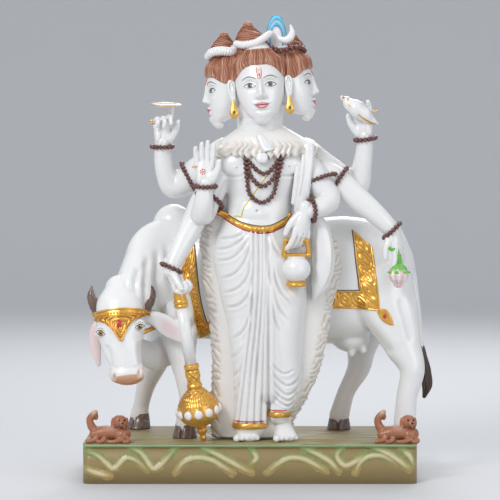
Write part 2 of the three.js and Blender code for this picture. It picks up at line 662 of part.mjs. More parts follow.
// Triangles whose corners coincide are left out, and the rest are turned outward
function solid(geometry) {
  const bare = geometry.clone();
  bare.deleteAttribute('normal');
  bare.deleteAttribute('uv');
  const merged = mergeVertices(bare, 1e-4);
  const vertices = merged.attributes.position.array;
  const triangles = [];
  let volume = 0;
  const corner = (i) => new THREE.Vector3().fromArray(vertices, i * 3);
  for (let i = 0; i < merged.index.count; i += 3) {
    const [a, b, c] = merged.index.array.subarray(i, i + 3);
    if (a === b || b === c || a === c) continue;
    triangles.push(a, b, c);
    volume += corner(a).dot(corner(b).cross(corner(c)));
  }
  if (volume < 0) triangles.reverse();
  const mesh = new wasm.Mesh({ numProp: 3, vertProperties: vertices, triVerts: new Uint32Array(triangles) });
  return new wasm.Manifold(mesh);
}

function geometryOf(manifold) {
  const mesh = manifold.getMesh();
  const geometry = new THREE.BufferGeometry();
  geometry.setAttribute('position', new THREE.BufferAttribute(mesh.vertProperties, 3));
  geometry.setIndex(new THREE.BufferAttribute(mesh.triVerts, 1));
  return geometry;
}

// Where two sheets of the skin meet in one corner, each draws back a little to its own inside
function drawnApart(geometry) {
  geometry.computeVertexNormals();
  const { position, normal } = geometry.attributes;
  const place = new THREE.Vector3();
  const outward = new THREE.Vector3();
  const copies = {};
  for (let i = 0; i < position.count; i++) {
    const key = place.fromBufferAttribute(position, i).toArray().join();
    copies[key] = [...(copies[key] ?? []), i];
  }
  for (const corners of Object.values(copies).filter((list) => list.length > 1)) {
    for (const i of corners) {
      place.fromBufferAttribute(position, i);
      place.addScaledVector(outward.fromBufferAttribute(normal, i), -TOUCH_GAP);
      position.setXYZ(i, place.x, place.y, place.z);
    }
  }
  return geometry;
}

// The union of all bodies, thinned to the triangle count; splinters that the thinning cuts off go
async function carved(bodies) {
  const whole = geometryOf(wasm.Manifold.union(bodies.map(solid)));
  const surplus = 1 - TRIANGLES / (whole.index.count / 3);
  const corners = whole.attributes.position.count;
  const thinned = await new SimplifyModifier().modify(whole, Math.round(corners * surplus));
  const bodiesLeft = solid(thinned).decompose().sort((a, b) => b.volume() - a.volume());
  return drawnApart(geometryOf(bodiesLeft[0]));
}

const bodies = [
  ...base(), ...robe(), ...foot(-3, -44, -4), ...foot(46, -44, 6), ...torso(), ...cape(), ...mantle(),
  ...sash(), ...heads(), ...arms(), ...discus(), ...conch(), ...mace(), ...pot(), ...lotus(),
  ...strands(), ...cowBody(), ...cowLegs(), ...cowHead(), ...saddleCloth(), ...cowTail(), ...dogs(),
];
const marble = new THREE.MeshStandardMaterial({ color: 0xf1eee9, roughness: 0.25, metalness: 0 });
const statue = new THREE.Mesh(await carved(bodies), marble);
statue.name = 'statue';
statue.position.x = -BOX_CENTRE_X;

const group = new THREE.Group();
group.add(statue);

export default group;
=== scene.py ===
# %% [markdown]
# A painted marble shrine statue, carved from one block: a three-headed, six-armed standing
# figure before a cow, small dogs at its feet, and the painted base they share. The lesson builds
# it the way a carver would: big rounded masses first, then folds, locks and features cut into
# them, then beads, gilding and paint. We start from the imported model, which fixes every size.

import json
import math

import bmesh
import bpy
import numpy as np
from mathutils import Matrix, Vector, noise
from mathutils.bvhtree import BVHTree

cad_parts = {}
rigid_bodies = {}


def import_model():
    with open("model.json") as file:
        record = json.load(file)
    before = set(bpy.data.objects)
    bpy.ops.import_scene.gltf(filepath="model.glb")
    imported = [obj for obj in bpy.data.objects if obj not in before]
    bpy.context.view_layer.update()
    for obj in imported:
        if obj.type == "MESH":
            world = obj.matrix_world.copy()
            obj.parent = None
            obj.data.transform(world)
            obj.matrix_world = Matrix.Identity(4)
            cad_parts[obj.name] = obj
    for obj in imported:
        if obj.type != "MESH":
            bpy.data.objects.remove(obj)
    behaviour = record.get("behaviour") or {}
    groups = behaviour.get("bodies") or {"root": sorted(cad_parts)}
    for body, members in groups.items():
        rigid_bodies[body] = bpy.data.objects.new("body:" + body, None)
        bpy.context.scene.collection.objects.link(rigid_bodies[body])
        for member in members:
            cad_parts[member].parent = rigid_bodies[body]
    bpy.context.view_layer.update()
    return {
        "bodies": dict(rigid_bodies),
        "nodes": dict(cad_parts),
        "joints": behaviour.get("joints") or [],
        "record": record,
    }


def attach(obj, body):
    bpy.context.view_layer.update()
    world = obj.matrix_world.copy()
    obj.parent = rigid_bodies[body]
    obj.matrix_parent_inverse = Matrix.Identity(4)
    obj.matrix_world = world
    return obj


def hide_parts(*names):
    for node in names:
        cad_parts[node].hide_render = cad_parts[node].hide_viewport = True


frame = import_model()

# %% [markdown]
# The carver's drawing is in millimetres, with the figure's middle line near zero, so that is how
# every place below is given. One matrix turns the drawing into the part's own frame in metres.

# %% Drawing to frame
MM = 0.001
BOX_CENTRE_X = 13
BASE_WIDTH = 432
BASE_DEPTH = 200
BASE_TOP = 51
DRAWING = Matrix.Scale(MM, 4) @ Matrix.Translation((-BOX_CENTRE_X, 0, 0))
CAMERA_PLACE = (0, -2700, 392)
CAMERA_PITCH = 1.98
FIELD_OF_VIEW = 14.06

# %% [markdown]
# The camera stands level with the throat of the figure, about 2.7 m away, as for a catalogue
# picture with a long lens. It comes first, because everything else is judged through it.

# %% Camera
camera_data = bpy.data.cameras.new("camera")
camera_data.angle = math.radians(FIELD_OF_VIEW)
camera_data.clip_end = 50
camera = bpy.data.objects.new("camera", camera_data)
camera.location = DRAWING @ Vector(CAMERA_PLACE)
camera.rotation_euler = (math.radians(90 - CAMERA_PITCH), 0, 0)
bpy.context.scene.collection.objects.link(camera)
bpy.context.scene.camera = camera
print("camera at", tuple(round(v, 3) for v in camera.location))

# %% [markdown]
# Numbers for many points at once are quickest in arrays. These helpers read and write a mesh's
# places, and draw a smooth curve through a few given points.

# %% Arrays and curves
def as_mesh(bm):
    """The bmesh as a mesh, and the bmesh is freed"""
    mesh = bpy.data.meshes.new("shape")
    bm.to_mesh(mesh)
    bm.free()
    return mesh


def places(mesh):
    co = np.empty(len(mesh.vertices) * 3)
    mesh.vertices.foreach_get("co", co)
    return co.reshape(-1, 3)


def outward(mesh):
    normals = np.empty(len(mesh.vertices) * 3)
    mesh.vertices.foreach_get("normal", normals)
    return normals.reshape(-1, 3)


def move(mesh, co):
    mesh.vertices.foreach_set("co", np.ascontiguousarray(co, np.float32).ravel())
    mesh.update()


def spline(points, t):
    """Places on a smooth curve through the points, for an array t from 0 to 1"""
    p = np.array(points, float)
    p = np.vstack([2 * p[0] - p[1], p, 2 * p[-1] - p[-2]])
    step = np.linalg.norm(np.diff(p, axis=0), axis=1) ** 0.5
    step[step < 1e-3] = 1
    u = np.clip(t, 0, 1) * (len(points) - 1)
    i = np.minimum(u.astype(int), len(points) - 2)
    w = (u - i)[:, None]
    a, b, c = (step[i + k][:, None] for k in range(3))
    p0, p1, p2, p3 = (p[i + k] for k in range(4))
    m1 = ((p1 - p0) / a - (p2 - p0) / (a + b) + (p2 - p1) / b) * b
    m2 = ((p2 - p1) / b - (p3 - p1) / (b + c) + (p3 - p2) / c) * b
    return p1 + w * m1 + w**2 * (3 * (p2 - p1) - 2 * m1 - m2) + w**3 * (2 * (p1 - p2) + m1 + m2)


def unit(v):
    return v / np.maximum(np.linalg.norm(v, axis=-1, keepdims=True), 1e-9)


def ease(x, low, high):
    """0 below low, 1 above high, and smooth between them"""
    t = np.clip((x - low) / (high - low), 0, 1)
    return t * t * (3 - 2 * t)


def rough_noise(co, size, seed=0.0):
    """A smooth random number from about -1 to 1 at each place, in lumps of the given size"""
    return np.array([noise.noise((x / size + seed, y / size, z / size)) for x, y, z in co])


# %% [markdown]
# Nearly every limb, trunk and roll is a stack of ovals along a bent line. A sphere with the
# right number of rings is pulled out along the line: its first and last rings round the ends,
# and the others follow the stations x, y, z, half width, half depth.

# %% Limbs and trunks
SIDEWAYS = (1, 0, 0)
BACKWARD = (0, 1, 0)
UPWARD = (0, 0, 1)


def limb(stations, around=24, rows=24, caps=6, across=SIDEWAYS, level=False, relief=None, bias=0.0,
         round_by=None):
    bm = bmesh.new()
    rings = rows + 2 * caps
    bmesh.ops.create_uvsphere(bm, u_segments=around, v_segments=rings, radius=1)
    mesh = as_mesh(bm)
    co = places(mesh)
    row = np.rint((1 - np.arccos(np.clip(co[:, 2], -1, 1)) / math.pi) * rings)
    angle = np.arctan2(co[:, 1], co[:, 0])
    angle = angle - bias * np.cos(angle)
    turn = np.where(row < caps, row / caps - 1, np.where(row > caps + rows, (row - caps - rows) / caps, 0))
    radius = np.cos(turn * math.pi / 2)
    reach = np.sin(turn * math.pi / 2)
    t = np.clip((row - caps) / rows, 0, 1)
    path = [s[:3] for s in stations]
    size = spline([(s[3], s[4] if len(s) > 4 else s[3]) for s in stations], t)
    centre = spline(path, t)
    ahead = unit(spline(path, np.minimum(t + 0.01, 1)) - spline(path, np.maximum(t - 0.01, 0)))
    if level:
        ahead = np.tile(np.array(UPWARD, float), (len(t), 1))
    side = np.array(across, float)
    side = unit(side - (ahead @ side)[:, None] * ahead)
    deep = np.cross(ahead, side)
    cos, sin = np.cos(angle)[:, None], np.sin(angle)[:, None]
    out = side * cos + deep * sin
    co = centre + (side * cos * size[:, :1] + deep * sin * size[:, 1:]) * radius[:, None]
    co += ahead * (reach * (round_by or size.min(axis=1)))[:, None]
    if relief:
        co += out * (relief(angle, t) * radius)[:, None]
    move(mesh, co)
    return mesh


def lump(centre, radii, around=24, rings=16):
    bm = bmesh.new()
    matrix = Matrix.Translation(centre) @ Matrix.Diagonal((*radii, 1))
    bmesh.ops.create_uvsphere(bm, u_segments=around, v_segments=rings, radius=1, matrix=matrix)
    return as_mesh(bm)


# %% [markdown]
# Marble has no joints, so parts that grow out of each other are fused: a voxel remesh wraps one
# skin round all of them, and a few rounds of smoothing round the corners where they meet, as a
# rubbing stone does.

# %% Joining and fusing
def joined(meshes):
    bm = bmesh.new()
    for mesh in meshes:
        bm.from_mesh(mesh)
        bpy.data.meshes.remove(mesh)
    return as_mesh(bm)


def fused(meshes, voxel, rounds=5):
    rough = bpy.data.objects.new("rough", joined(meshes))
    bpy.context.scene.collection.objects.link(rough)
    remesh = rough.modifiers.new("Fuse", "REMESH")
    remesh.mode = "VOXEL"
    remesh.voxel_size = voxel
    rub = rough.modifiers.new("Rub", "SMOOTH")
    rub.factor = 0.5
    rub.iterations = rounds
    skin = rough.evaluated_get(bpy.context.evaluated_depsgraph_get())
    mesh = bpy.data.meshes.new_from_object(skin)
    raw = rough.data
    bpy.data.objects.remove(rough)
    bpy.data.meshes.remove(raw)
    return mesh


def placed(mesh, place=(0, 0, 0), up=(0, 0, 1), facing=(0, -1, 0), scale=1.0):
    """Moves a mesh so that its own Z and -Y point along up and facing at a place"""
    z = Vector(up).normalized()
    y = -Vector(facing)
    y = (y - z * y.dot(z)).normalized()
    x = y.cross(z)
    matrix = Matrix.Translation(place) @ Matrix((x, y, z)).transposed().to_4x4() @ Matrix.Scale(scale, 4)
    mesh.transform(matrix)
    return mesh


# %% [markdown]
# Carving on a finished skin is a matter of pushing points in or out. A lump is pushed with a
# soft round brush, and a fold with a brush that follows a line seen from the front.

# %% Carving tools
def brush(co, x, z, wide, high, amount, back=None):
    """A soft dab seen from the front: how far each point moves"""
    dab = amount * np.exp(-(((co[:, 0] - x) / wide) ** 2) - ((co[:, 2] - z) / high) ** 2)
    return dab if back is None else dab * (co[:, 1] < back)


def from_line(co, line, samples=24, flat=(0, 2)):
    """Distance to a line, the side it lies on as a sign, and how far along it from 0 to 1"""
    p = spline(line, np.linspace(0, 1, samples))
    q = co[:, list(flat)]
    best = np.full(len(q), 1e9)
    along = np.zeros(len(q))
    sign = np.ones(len(q))
    for k in range(samples - 1):
        d = p[k + 1] - p[k]
        r = q - p[k]
        w = np.clip((r @ d) / (d @ d), 0, 1)
        gap = r - w[:, None] * d
        far = np.hypot(gap[:, 0], gap[:, 1])
        near = far < best
        best[near] = far[near]
        along[near] = ((k + w) / (samples - 1))[near]
        sign[near] = np.where(d[0] * r[:, 1] - d[1] * r[:, 0] > 0, 1, -1)[near]
    return best, sign, along


def crease(co, line, wide, deep, fade=0.15):
    """A groove along a line with a soft roll on each side, fading at both ends"""
    far, _, along = from_line(co, line)
    ends = ease(along, 0, fade) * ease(1 - along, 0, fade) if fade else 1
    x = far / wide
    return ends * deep * (0.55 * np.exp(-((x - 1.5) ** 2) * 1.6) - np.exp(-(x**2) * 2.2))


# %% [markdown]
# Paint and gilding follow places on the carving, so they are stored with each point. "paint"
# holds a colour and how much it covers, "strand" the light and dark of hair and fur, and
# "hollow" how deep a point lies in a crevice, which the finishes darken as painted shade.

# %% Paint stored on the points
def coat_of(mesh):
    """The coat of paint of a mesh, and where there is none yet, one that covers nothing"""
    layer = mesh.color_attributes.get("paint")
    if layer is None:
        layer = mesh.color_attributes.new("paint", "FLOAT_COLOR", "POINT")
        layer.data.foreach_set("color", np.zeros(len(mesh.vertices) * 4, np.float32))
    return layer


def paint(mesh, cover, colour):
    """Lays a colour over the paint that is there. Cover runs from 0 to 1 at each point."""
    layer = coat_of(mesh)
    old = np.empty(len(mesh.vertices) * 4)
    layer.data.foreach_get("color", old)
    old = old.reshape(-1, 4)
    cover = np.clip(cover, 0, 1)
    alpha = cover + old[:, 3] * (1 - cover)
    new = np.array(colour)[None] * cover[:, None] + old[:, :3] * (old[:, 3] * (1 - cover))[:, None]
    new = new / np.maximum(alpha, 1e-6)[:, None]
    layer.data.foreach_set("color", np.c_[new, alpha].astype(np.float32).ravel())


def number(mesh, name, values):
    layer = mesh.attributes.get(name) or mesh.attributes.new(name, "FLOAT", "POINT")
    layer.data.foreach_set("value", np.asarray(values, np.float32))


def hollows(mesh, spread=2):
    """How far the points around each point stand above it, by the distance between them"""
    co, normals = places(mesh), outward(mesh)
    ends = np.empty(len(mesh.edges) * 2, np.int64)
    mesh.edges.foreach_get("vertices", ends)
    a, b = ends.reshape(-1, 2).T
    count = np.bincount(np.r_[a, b], minlength=len(co))
    rise = np.zeros(len(co))
    gap = co[b] - co[a]
    size = np.maximum(np.linalg.norm(gap, axis=1), 1e-6)
    np.add.at(rise, a, np.einsum("ij,ij->i", gap, normals[a]) / size)
    np.add.at(rise, b, -np.einsum("ij,ij->i", gap, normals[b]) / size)
    rise /= np.maximum(count, 1)
    for _ in range(spread):
        total = np.bincount(a, rise[b], len(co)) + np.bincount(b, rise[a], len(co))
        rise = 0.5 * rise + 0.5 * total / np.maximum(count, 1)
    return np.clip(rise * 6, 0, 1)


# %% [markdown]
# A finished piece gets its hollows, its materials and smooth shading, moves into the part's
# frame, and rides on the one body that a carving has. It stands for the plain solid.

# %% Finishing a piece
made = []


def finished(name, mesh, *materials):
    coat_of(mesh)
    # how deep each point lies in a hollow, which the finishes darken as painted shade
    number(mesh, "hollow", hollows(mesh))
    if not mesh.attributes.get("strand"):
        number(mesh, "strand", np.full(len(mesh.vertices), 0.5))
    mesh.materials.clear()
    for material in materials:
        mesh.materials.append(material)
    mesh.shade_smooth()
    mesh.name = name
    mesh.transform(DRAWING)
    piece = bpy.data.objects.new(name, mesh)
    bpy.context.scene.collection.objects.link(piece)
    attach(piece, "root")
    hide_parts("statue")
    triangles = sum(len(face.vertices) - 2 for face in mesh.polygons)
    made.append(triangles)
    print(f"{name}: {triangles} triangles")
    return piece


# %% [markdown]
# Now the finishes. Two effects are shared by all of them, so each is a node group: one paints
# shade into the hollows, and "mottle" gives a soft cloud of tone and a fine height for the bump.

# %% Shared effects
def group(name, inputs, outputs):
    tree = bpy.data.node_groups.new(name, "ShaderNodeTree")
    for label, kind, value in inputs:
        socket = tree.interface.new_socket(label, in_out="INPUT", socket_type=kind)
        socket.default_value = value
    for label, kind in outputs:
        tree.interface.new_socket(label, in_out="OUTPUT", socket_type=kind)
    return tree, tree.nodes.new("NodeGroupInput"), tree.nodes.new("NodeGroupOutput")


def node(tree, kind, settings=(), **inputs):
    """A node with its settings, and its inputs given as values or as another node's output"""
    item = tree.nodes.new(kind)
    for name, value in dict(settings).items():
        setattr(item, name, value)
    for name, value in inputs.items():
        socket = item.inputs[int(name[1:])] if name[1:].isdigit() else item.inputs[name.replace("_", " ")]
        if isinstance(value, bpy.types.NodeSocket):
            tree.links.new(value, socket)
        else:
            socket.default_value = value
    return item


def mixed(tree, amount, first, second):
    blend = node(tree, "ShaderNodeMix", {"data_type": "RGBA"}, i0=amount, i6=first, i7=second)
    return blend.outputs[2]


def times(tree, first, second, kind="MULTIPLY"):
    return node(tree, "ShaderNodeMath", {"operation": kind}, i0=first, i1=second).outputs[0]


def painted_shade_group():
    inputs = [("Colour", "NodeSocketColor", (1, 1, 1, 1)), ("Dirt", "NodeSocketColor", (0, 0, 0, 1)),
              ("Amount", "NodeSocketFloat", 0.5)]
    tree, given, result = group("painted_shade", inputs, [("Colour", "NodeSocketColor")])
    # painted shade: the deeper a point lies in a hollow, the more its colour turns to the shade colour
    depth = node(tree, "ShaderNodeAttribute", {"attribute_name": "hollow"})
    amount = times(tree, depth.outputs["Fac"], given.outputs["Amount"])
    colour = mixed(tree, amount, given.outputs["Colour"], given.outputs["Dirt"])
    tree.links.new(colour, result.inputs["Colour"])
    return tree


def mottle_group():
    inputs = [("Colour", "NodeSocketColor", (1, 1, 1, 1)), ("Tint", "NodeSocketColor", (0, 0, 0, 1)),
              ("Amount", "NodeSocketFloat", 0.3), ("Cloud Scale", "NodeSocketFloat", 20.0),
              ("Grain Scale", "NodeSocketFloat", 900.0)]
    outputs = [("Colour", "NodeSocketColor"), ("Tone", "NodeSocketFloat"), ("Height", "NodeSocketFloat")]
    tree, given, result = group("mottle", inputs, outputs)
    where = node(tree, "ShaderNodeTexCoord").outputs["Object"]
    cloud = node(tree, "ShaderNodeTexNoise", Vector=where, Scale=given.outputs["Cloud Scale"], Detail=4.0)
    grain = node(tree, "ShaderNodeTexNoise", Vector=where, Scale=given.outputs["Grain Scale"], Detail=2.0)
    amount = times(tree, cloud.outputs["Fac"], given.outputs["Amount"])
    colour = mixed(tree, amount, given.outputs["Colour"], given.outputs["Tint"])
    tree.links.new(colour, result.inputs["Colour"])
    tree.links.new(cloud.outputs["Fac"], result.inputs["Tone"])
    tree.links.new(grain.outputs["Fac"], result.inputs["Height"])
    return tree


PAINTED_SHADE = painted_shade_group()
MOTTLE = mottle_group()

# %% [markdown]
# Each finish starts the same way: a colour, clouded by "mottle" and darkened in the hollows as
# painted shade, and a bump from the fine height. The caller sets gloss and metal on the shader's own sockets.

# %% A finish
def finish_of(name, colour, tint, dirt, cloud=0.3, cloud_scale=20.0, grain_scale=900.0, shade_amount=0.5,
              roughness=0.3, metallic=0.0, coat=0.0, bump=0.05, painted=False, strands=None):
    material = bpy.data.materials.new(name)
    material.use_nodes = True
    tree = material.node_tree
    shader = tree.nodes["Principled BSDF"]
    base = (*colour, 1)
    if strands:
        light = node(tree, "ShaderNodeAttribute", {"attribute_name": "strand"})
        ramp = node(tree, "ShaderNodeValToRGB", i0=light.outputs["Fac"])
        ramp.color_ramp.elements[0].color = (*strands[0], 1)
        ramp.color_ramp.elements[1].color = (*strands[1], 1)
        middle = ramp.color_ramp.elements.new(0.5)
        middle.color = base
        base = ramp.outputs["Color"]
    cloudy = node(tree, "ShaderNodeGroup", {"node_tree": MOTTLE}, Colour=base, Tint=(*tint, 1),
                  Amount=cloud, Cloud_Scale=cloud_scale, Grain_Scale=grain_scale)
    shown = cloudy.outputs["Colour"]
    if painted:
        brush_work = node(tree, "ShaderNodeAttribute", {"attribute_name": "paint"})
        shown = mixed(tree, brush_work.outputs["Alpha"], shown, brush_work.outputs["Color"])
    # painted shade: the colour darkens in the hollows towards the shade colour given
    old = node(tree, "ShaderNodeGroup", {"node_tree": PAINTED_SHADE}, Colour=shown, Dirt=(*dirt, 1), Amount=shade_amount)
    tree.links.new(old.outputs["Colour"], shader.inputs["Base Color"])
    relief = node(tree, "ShaderNodeBump", Strength=bump, Distance=0.0006, Height=cloudy.outputs["Height"])
    tree.links.new(relief.outputs["Normal"], shader.inputs["Normal"])
    shader.inputs["Roughness"].default_value = roughness
    shader.inputs["Metallic"].default_value = metallic
    shader.inputs["Coat Weight"].default_value = coat
    shader.inputs["Coat Roughness"].default_value = 0.06
    return material


# %% [markdown]
# The stone is the white marble of shrine carvings: nearly pure white, a faint cool cloud in it,
# polished to a soft gloss. A little light goes into it and comes out warmer, which is what keeps
# white stone from looking like plaster. Most of the colour on the statue is thin paint on it.

# %% The stones and colours
# The third colour given to each finish is the painted shade that its hollows darken to.
marble = finish_of("white_marble", (0.83, 0.83, 0.82), (0.66, 0.68, 0.72), (0.50, 0.44, 0.41), cloud=0.22,
                   cloud_scale=14.0, shade_amount=0.5, roughness=0.24, coat=0.35, bump=0.01, painted=True)
marble_shader = marble.node_tree.nodes["Principled BSDF"]
marble_shader.inputs["Subsurface Weight"].default_value = 0.12
marble_shader.inputs["Subsurface Radius"].default_value = (1.0, 0.45, 0.35)
marble_shader.inputs["Subsurface Scale"].default_value = 0.004
gold = finish_of("gold_leaf", (0.86, 0.50, 0.10), (0.62, 0.25, 0.03), (0.22, 0.045, 0.008), cloud=0.5,
                 cloud_scale=160.0, grain_scale=700.0, shade_amount=1.0, roughness=0.3, metallic=0.75, coat=0.3,
                 bump=0.25)
hair = finish_of("painted_hair", (0.40, 0.15, 0.075), (0.30, 0.09, 0.04), (0.16, 0.03, 0.012), cloud=0.4,
                 cloud_scale=60.0, shade_amount=0.7, roughness=0.4, coat=0.15, bump=0.1,
                 strands=((0.20, 0.045, 0.018), (0.72, 0.50, 0.36)))
fur = finish_of("painted_fur", (0.74, 0.70, 0.64), (0.60, 0.52, 0.43), (0.42, 0.33, 0.25), cloud=0.3,
                cloud_scale=50.0, shade_amount=0.6, roughness=0.34, coat=0.25, bump=0.05, painted=True,
                strands=((0.52, 0.42, 0.32), (0.84, 0.83, 0.81)))
seed = finish_of("bead_brown", (0.105, 0.030, 0.024), (0.20, 0.075, 0.06), (0.012, 0.003, 0.003), cloud=0.6,
                 cloud_scale=400.0, grain_scale=800.0, shade_amount=1.0, roughness=0.3, coat=0.4, bump=0.5)
rock = finish_of("painted_rock", (0.42, 0.36, 0.20), (0.30, 0.20, 0.09), (0.16, 0.12, 0.04), cloud=0.25,
                 cloud_scale=70.0, grain_scale=500.0, shade_amount=0.5, roughness=0.38, coat=0.2, bump=0.25,
                 painted=True)
clay = finish_of("dog_brown", (0.34, 0.115, 0.05), (0.50, 0.22, 0.12), (0.05, 0.012, 0.006), cloud=0.5,
                 cloud_scale=90.0, shade_amount=0.9, roughness=0.34, coat=0.35, bump=0.1, painted=True)
horn = finish_of("horn_brown", (0.085, 0.045, 0.035), (0.24, 0.17, 0.14), (0.01, 0.006, 0.005), cloud=0.7,
                 cloud_scale=110.0, shade_amount=0.6, roughness=0.25, coat=0.5, bump=0.2, painted=True)


def enamel(name, colour, shade=0.6, roughness=0.25, coat=0.3):
    """A thin brushed colour, a little uneven"""
    darker = tuple(c * shade for c in colour)
    # the darker colour is both the cloud tint and the painted shade of the hollows
    return finish_of(name, colour, darker, darker, cloud=0.5, cloud_scale=260.0, shade_amount=0.5,
                     roughness=roughness, coat=coat, bump=0.05)


line_grey = enamel("line_grey", (0.10, 0.10, 0.10))
line_black = enamel("line_black", (0.012, 0.010, 0.010))
iris_green = enamel("iris_green", (0.13, 0.20, 0.16))
amber = enamel("amber", (0.45, 0.24, 0.08))
lip_pink = enamel("lip_pink", (0.66, 0.20, 0.22), 0.8)
vermilion = enamel("vermilion", (0.74, 0.13, 0.03), 0.7)
crimson = enamel("crimson", (0.60, 0.012, 0.02), 0.5, 0.1, 1.0)
emerald = enamel("emerald", (0.004, 0.17, 0.11), 0.4, 0.1, 1.0)
thread_yellow = enamel("thread_yellow", (0.74, 0.62, 0.04), 0.8)
pearl = enamel("pearl_white", (0.86, 0.83, 0.82), 0.9, 0.15, 0.6)
print("materials:", len(bpy.data.materials))

# %% [markdown]
# Gilded borders, painted lines, eyes and lips all lie on a carved skin. Each is a small grid laid
# between two edge lines seen from the front, dropped onto the skin by casting rays, raised where
# it has relief, and closed behind so that its rim sinks into the stone.

# %% Laying a strip on the skin
def skin_of(*meshes):
    trees = []
    for mesh in meshes:
        trees.append(BVHTree.FromPolygons([tuple(v) for v in places(mesh)],
                                          [tuple(face.vertices) for face in mesh.polygons]))
    return trees


def front_of(skin, x, z, fallback):
    """Where a ray from the front meets the nearest of the skins"""
    hits = [tree.ray_cast((x, -400, z), (0, 1, 0))[0] for tree in skin]
    hits = [hit for hit in hits if hit]
    if hits:
        return min(hits, key=lambda hit: hit.y)
    near = min((tree.find_nearest((x, fallback, z)) for tree in skin), key=lambda found: found[3])
    return near[0]


def strip(skin, low, high, across=4, along=24, lift=0.15, relief=None, thick=0.9, y_guess=-60):
    bm = bmesh.new()
    bmesh.ops.create_grid(bm, x_segments=along, y_segments=across, size=0.5)
    mesh = as_mesh(bm)
    flat = places(mesh)
    u, v = flat[:, 0] + 0.5, flat[:, 1] + 0.5
    edge = spline(low, u) * (1 - v)[:, None] + spline(high, u) * v[:, None]
    hits = [front_of(skin, x, z, y_guess) for x, z in edge]
    co = np.array([tuple(hit) for hit in hits])
    move(mesh, co)
    normals = outward(mesh)
    normals *= np.where(normals[:, 1] > 0, -1, 1)[:, None]
    rise = lift + (relief(u, v) if relief else 0)
    co = co + normals * (rise if np.ndim(rise) else np.full(len(co), rise))[:, None]
    move(mesh, co)
    bm = bmesh.new()
    bm.from_mesh(mesh)
    bpy.data.meshes.remove(mesh)
    back = bmesh.ops.extrude_face_region(bm, geom=bm.faces[:], use_keep_orig=True)["geom"]
    bmesh.ops.translate(bm, verts=[v for v in back if isinstance(v, bmesh.types.BMVert)], vec=(0, thick, 0))
    bmesh.ops.recalc_face_normals(bm, faces=bm.faces)
    return as_mesh(bm)


def stroke(skin, line, width, along=24, taper=0.35, across=1, **more):
    """A brush line that thins towards its ends"""
    t = np.linspace(0, 1, 14)
    p = spline(line, t)
    d = unit(np.gradient(p, axis=0))
    wide = width / 2 * (taper + (1 - taper) * np.sin(np.pi * t))[:, None]
    n = np.c_[-d[:, 1], d[:, 0]] * wide
    return strip(skin, p - n, p + n, across, along, **more)


def dot(skin, x, z, wide, high, **more):
    """A round spot"""
    t = np.linspace(0, 1, 9)
    half = np.sin(np.pi * t) * high
    xs = x - np.cos(np.pi * t) * wide
    return strip(skin, np.c_[xs, z - half], np.c_[xs, z + half], 4, 10, **more)


# %% [markdown]
# The standing figure. The chest, belly, neck and six arms grow out of one another, so they are
# fused. The stations are the same as in the part's source, the arms in order from the viewer's
# left: raised, blessing, lowered, then raised, folded and lowered on the viewer's right.

# %% Chest and arms
BODY_Y = -45
TORSO = [(9, -45, 330, 45, 28), (11, -45, 350, 43.5, 27), (13, -45, 366, 43, 26), (14, -45, 385, 48, 29),
         (14, -45, 405, 53, 31), (17, -42, 425, 60, 29), (19, -40, 440, 52, 22), (16, -41, 455, 27, 19)]
ARMS = [
    [(-34, -28, 428, 20), (-68, -18, 404, 19), (-101, -12, 384, 16.5), (-112, -18, 405, 13.5),
     (-116, -25, 434, 10.5), (-116, -26, 442, 10)],
    [(-30, -40, 415, 17), (-50, -58, 372, 16), (-61, -70, 348, 15.5), (-60, -82, 362, 13),
     (-58, -84, 382, 10.5), (-58, -85, 388, 10)],
    [(-36, -34, 405, 18), (-62, -44, 362, 17), (-76, -58, 332, 15.5), (-90, -70, 305, 13),
     (-101, -77, 280, 10.5), (-103, -77, 274, 10)],
    [(72, -28, 428, 20), (105, -18, 404, 19), (141, -12, 385, 16.5), (148, -18, 410, 13),
     (152, -25, 444, 10.5), (152, -26, 450, 10)],
    [(66, -42, 420, 18), (84, -48, 396, 18), (102, -56, 366, 16), (90, -70, 356, 13),
     (76, -78, 352, 10.5), (72, -80, 350, 10)],
    [(80, -26, 410, 19), (112, -32, 392, 18), (140, -38, 368, 16.5), (166, -44, 346, 13.5),
     (184, -46, 328, 11), (188, -47, 323, 10)],
]


def flesh():
    parts = [limb(TORSO, 64, 60, 8, level=True), limb([(14, -42, 440, 31, 23), (13, -44, 462, 30, 24), (13, -42, 484, 31, 26)], 48, 30)]
    parts += [limb(arm, 36, 48, across=BACKWARD) for arm in ARMS]
    parts += [lump((-11, -61, 412), (26, 10.5, 18)), lump((41, -61, 413), (26, 10.5, 18)),
              lump((8, -61, 350), (27, 13, 20))]
    mesh = fused(parts, 1.5, 7)
    co = places(mesh)
    front = ease(-co[:, 1], 52, 60) * (co[:, 2] < 426) * (co[:, 0] > -45)
    push = crease(co, [(-38, 406), (-30, 398), (-15, 396.5), (-4, 401)], 2.4, 0.8)
    push += crease(co, [(35, 401), (46, 397), (58, 399), (66, 407)], 2.4, 0.8)
    push += crease(co, [(15, 402), (14, 385), (12, 362)], 3.4, 0.6)
    push += brush(co, 9, 352, 2.4, 2.0, -2.2) + brush(co, 9, 347, 14, 3, 0.5)
    co += outward(mesh) * (push * front)[:, None]
    rings = np.cos(np.clip((co[:, 2] - 464) / 2.2, -1.57, 1.57)) + np.cos(
        np.clip((co[:, 2] - 473) / 2.2, -1.57, 1.57))
    co -= outward(mesh) * (0.5 * rings * (co[:, 2] > 455) * (np.abs(co[:, 0] - 13) < 26))[:, None]
    move(mesh, co)
    return mesh


body = flesh()
BODY_SKIN = skin_of(body)
print("body points:", len(body.vertices))

# %% [markdown]
# The robe is a long wrapped cloth: one wide tube over both thighs, then a pleated panel over one
# leg and a close drape over the other shin, which ends higher. Its folds are grooves cut along
# lines seen from the front, the way they are drawn on the block before carving.

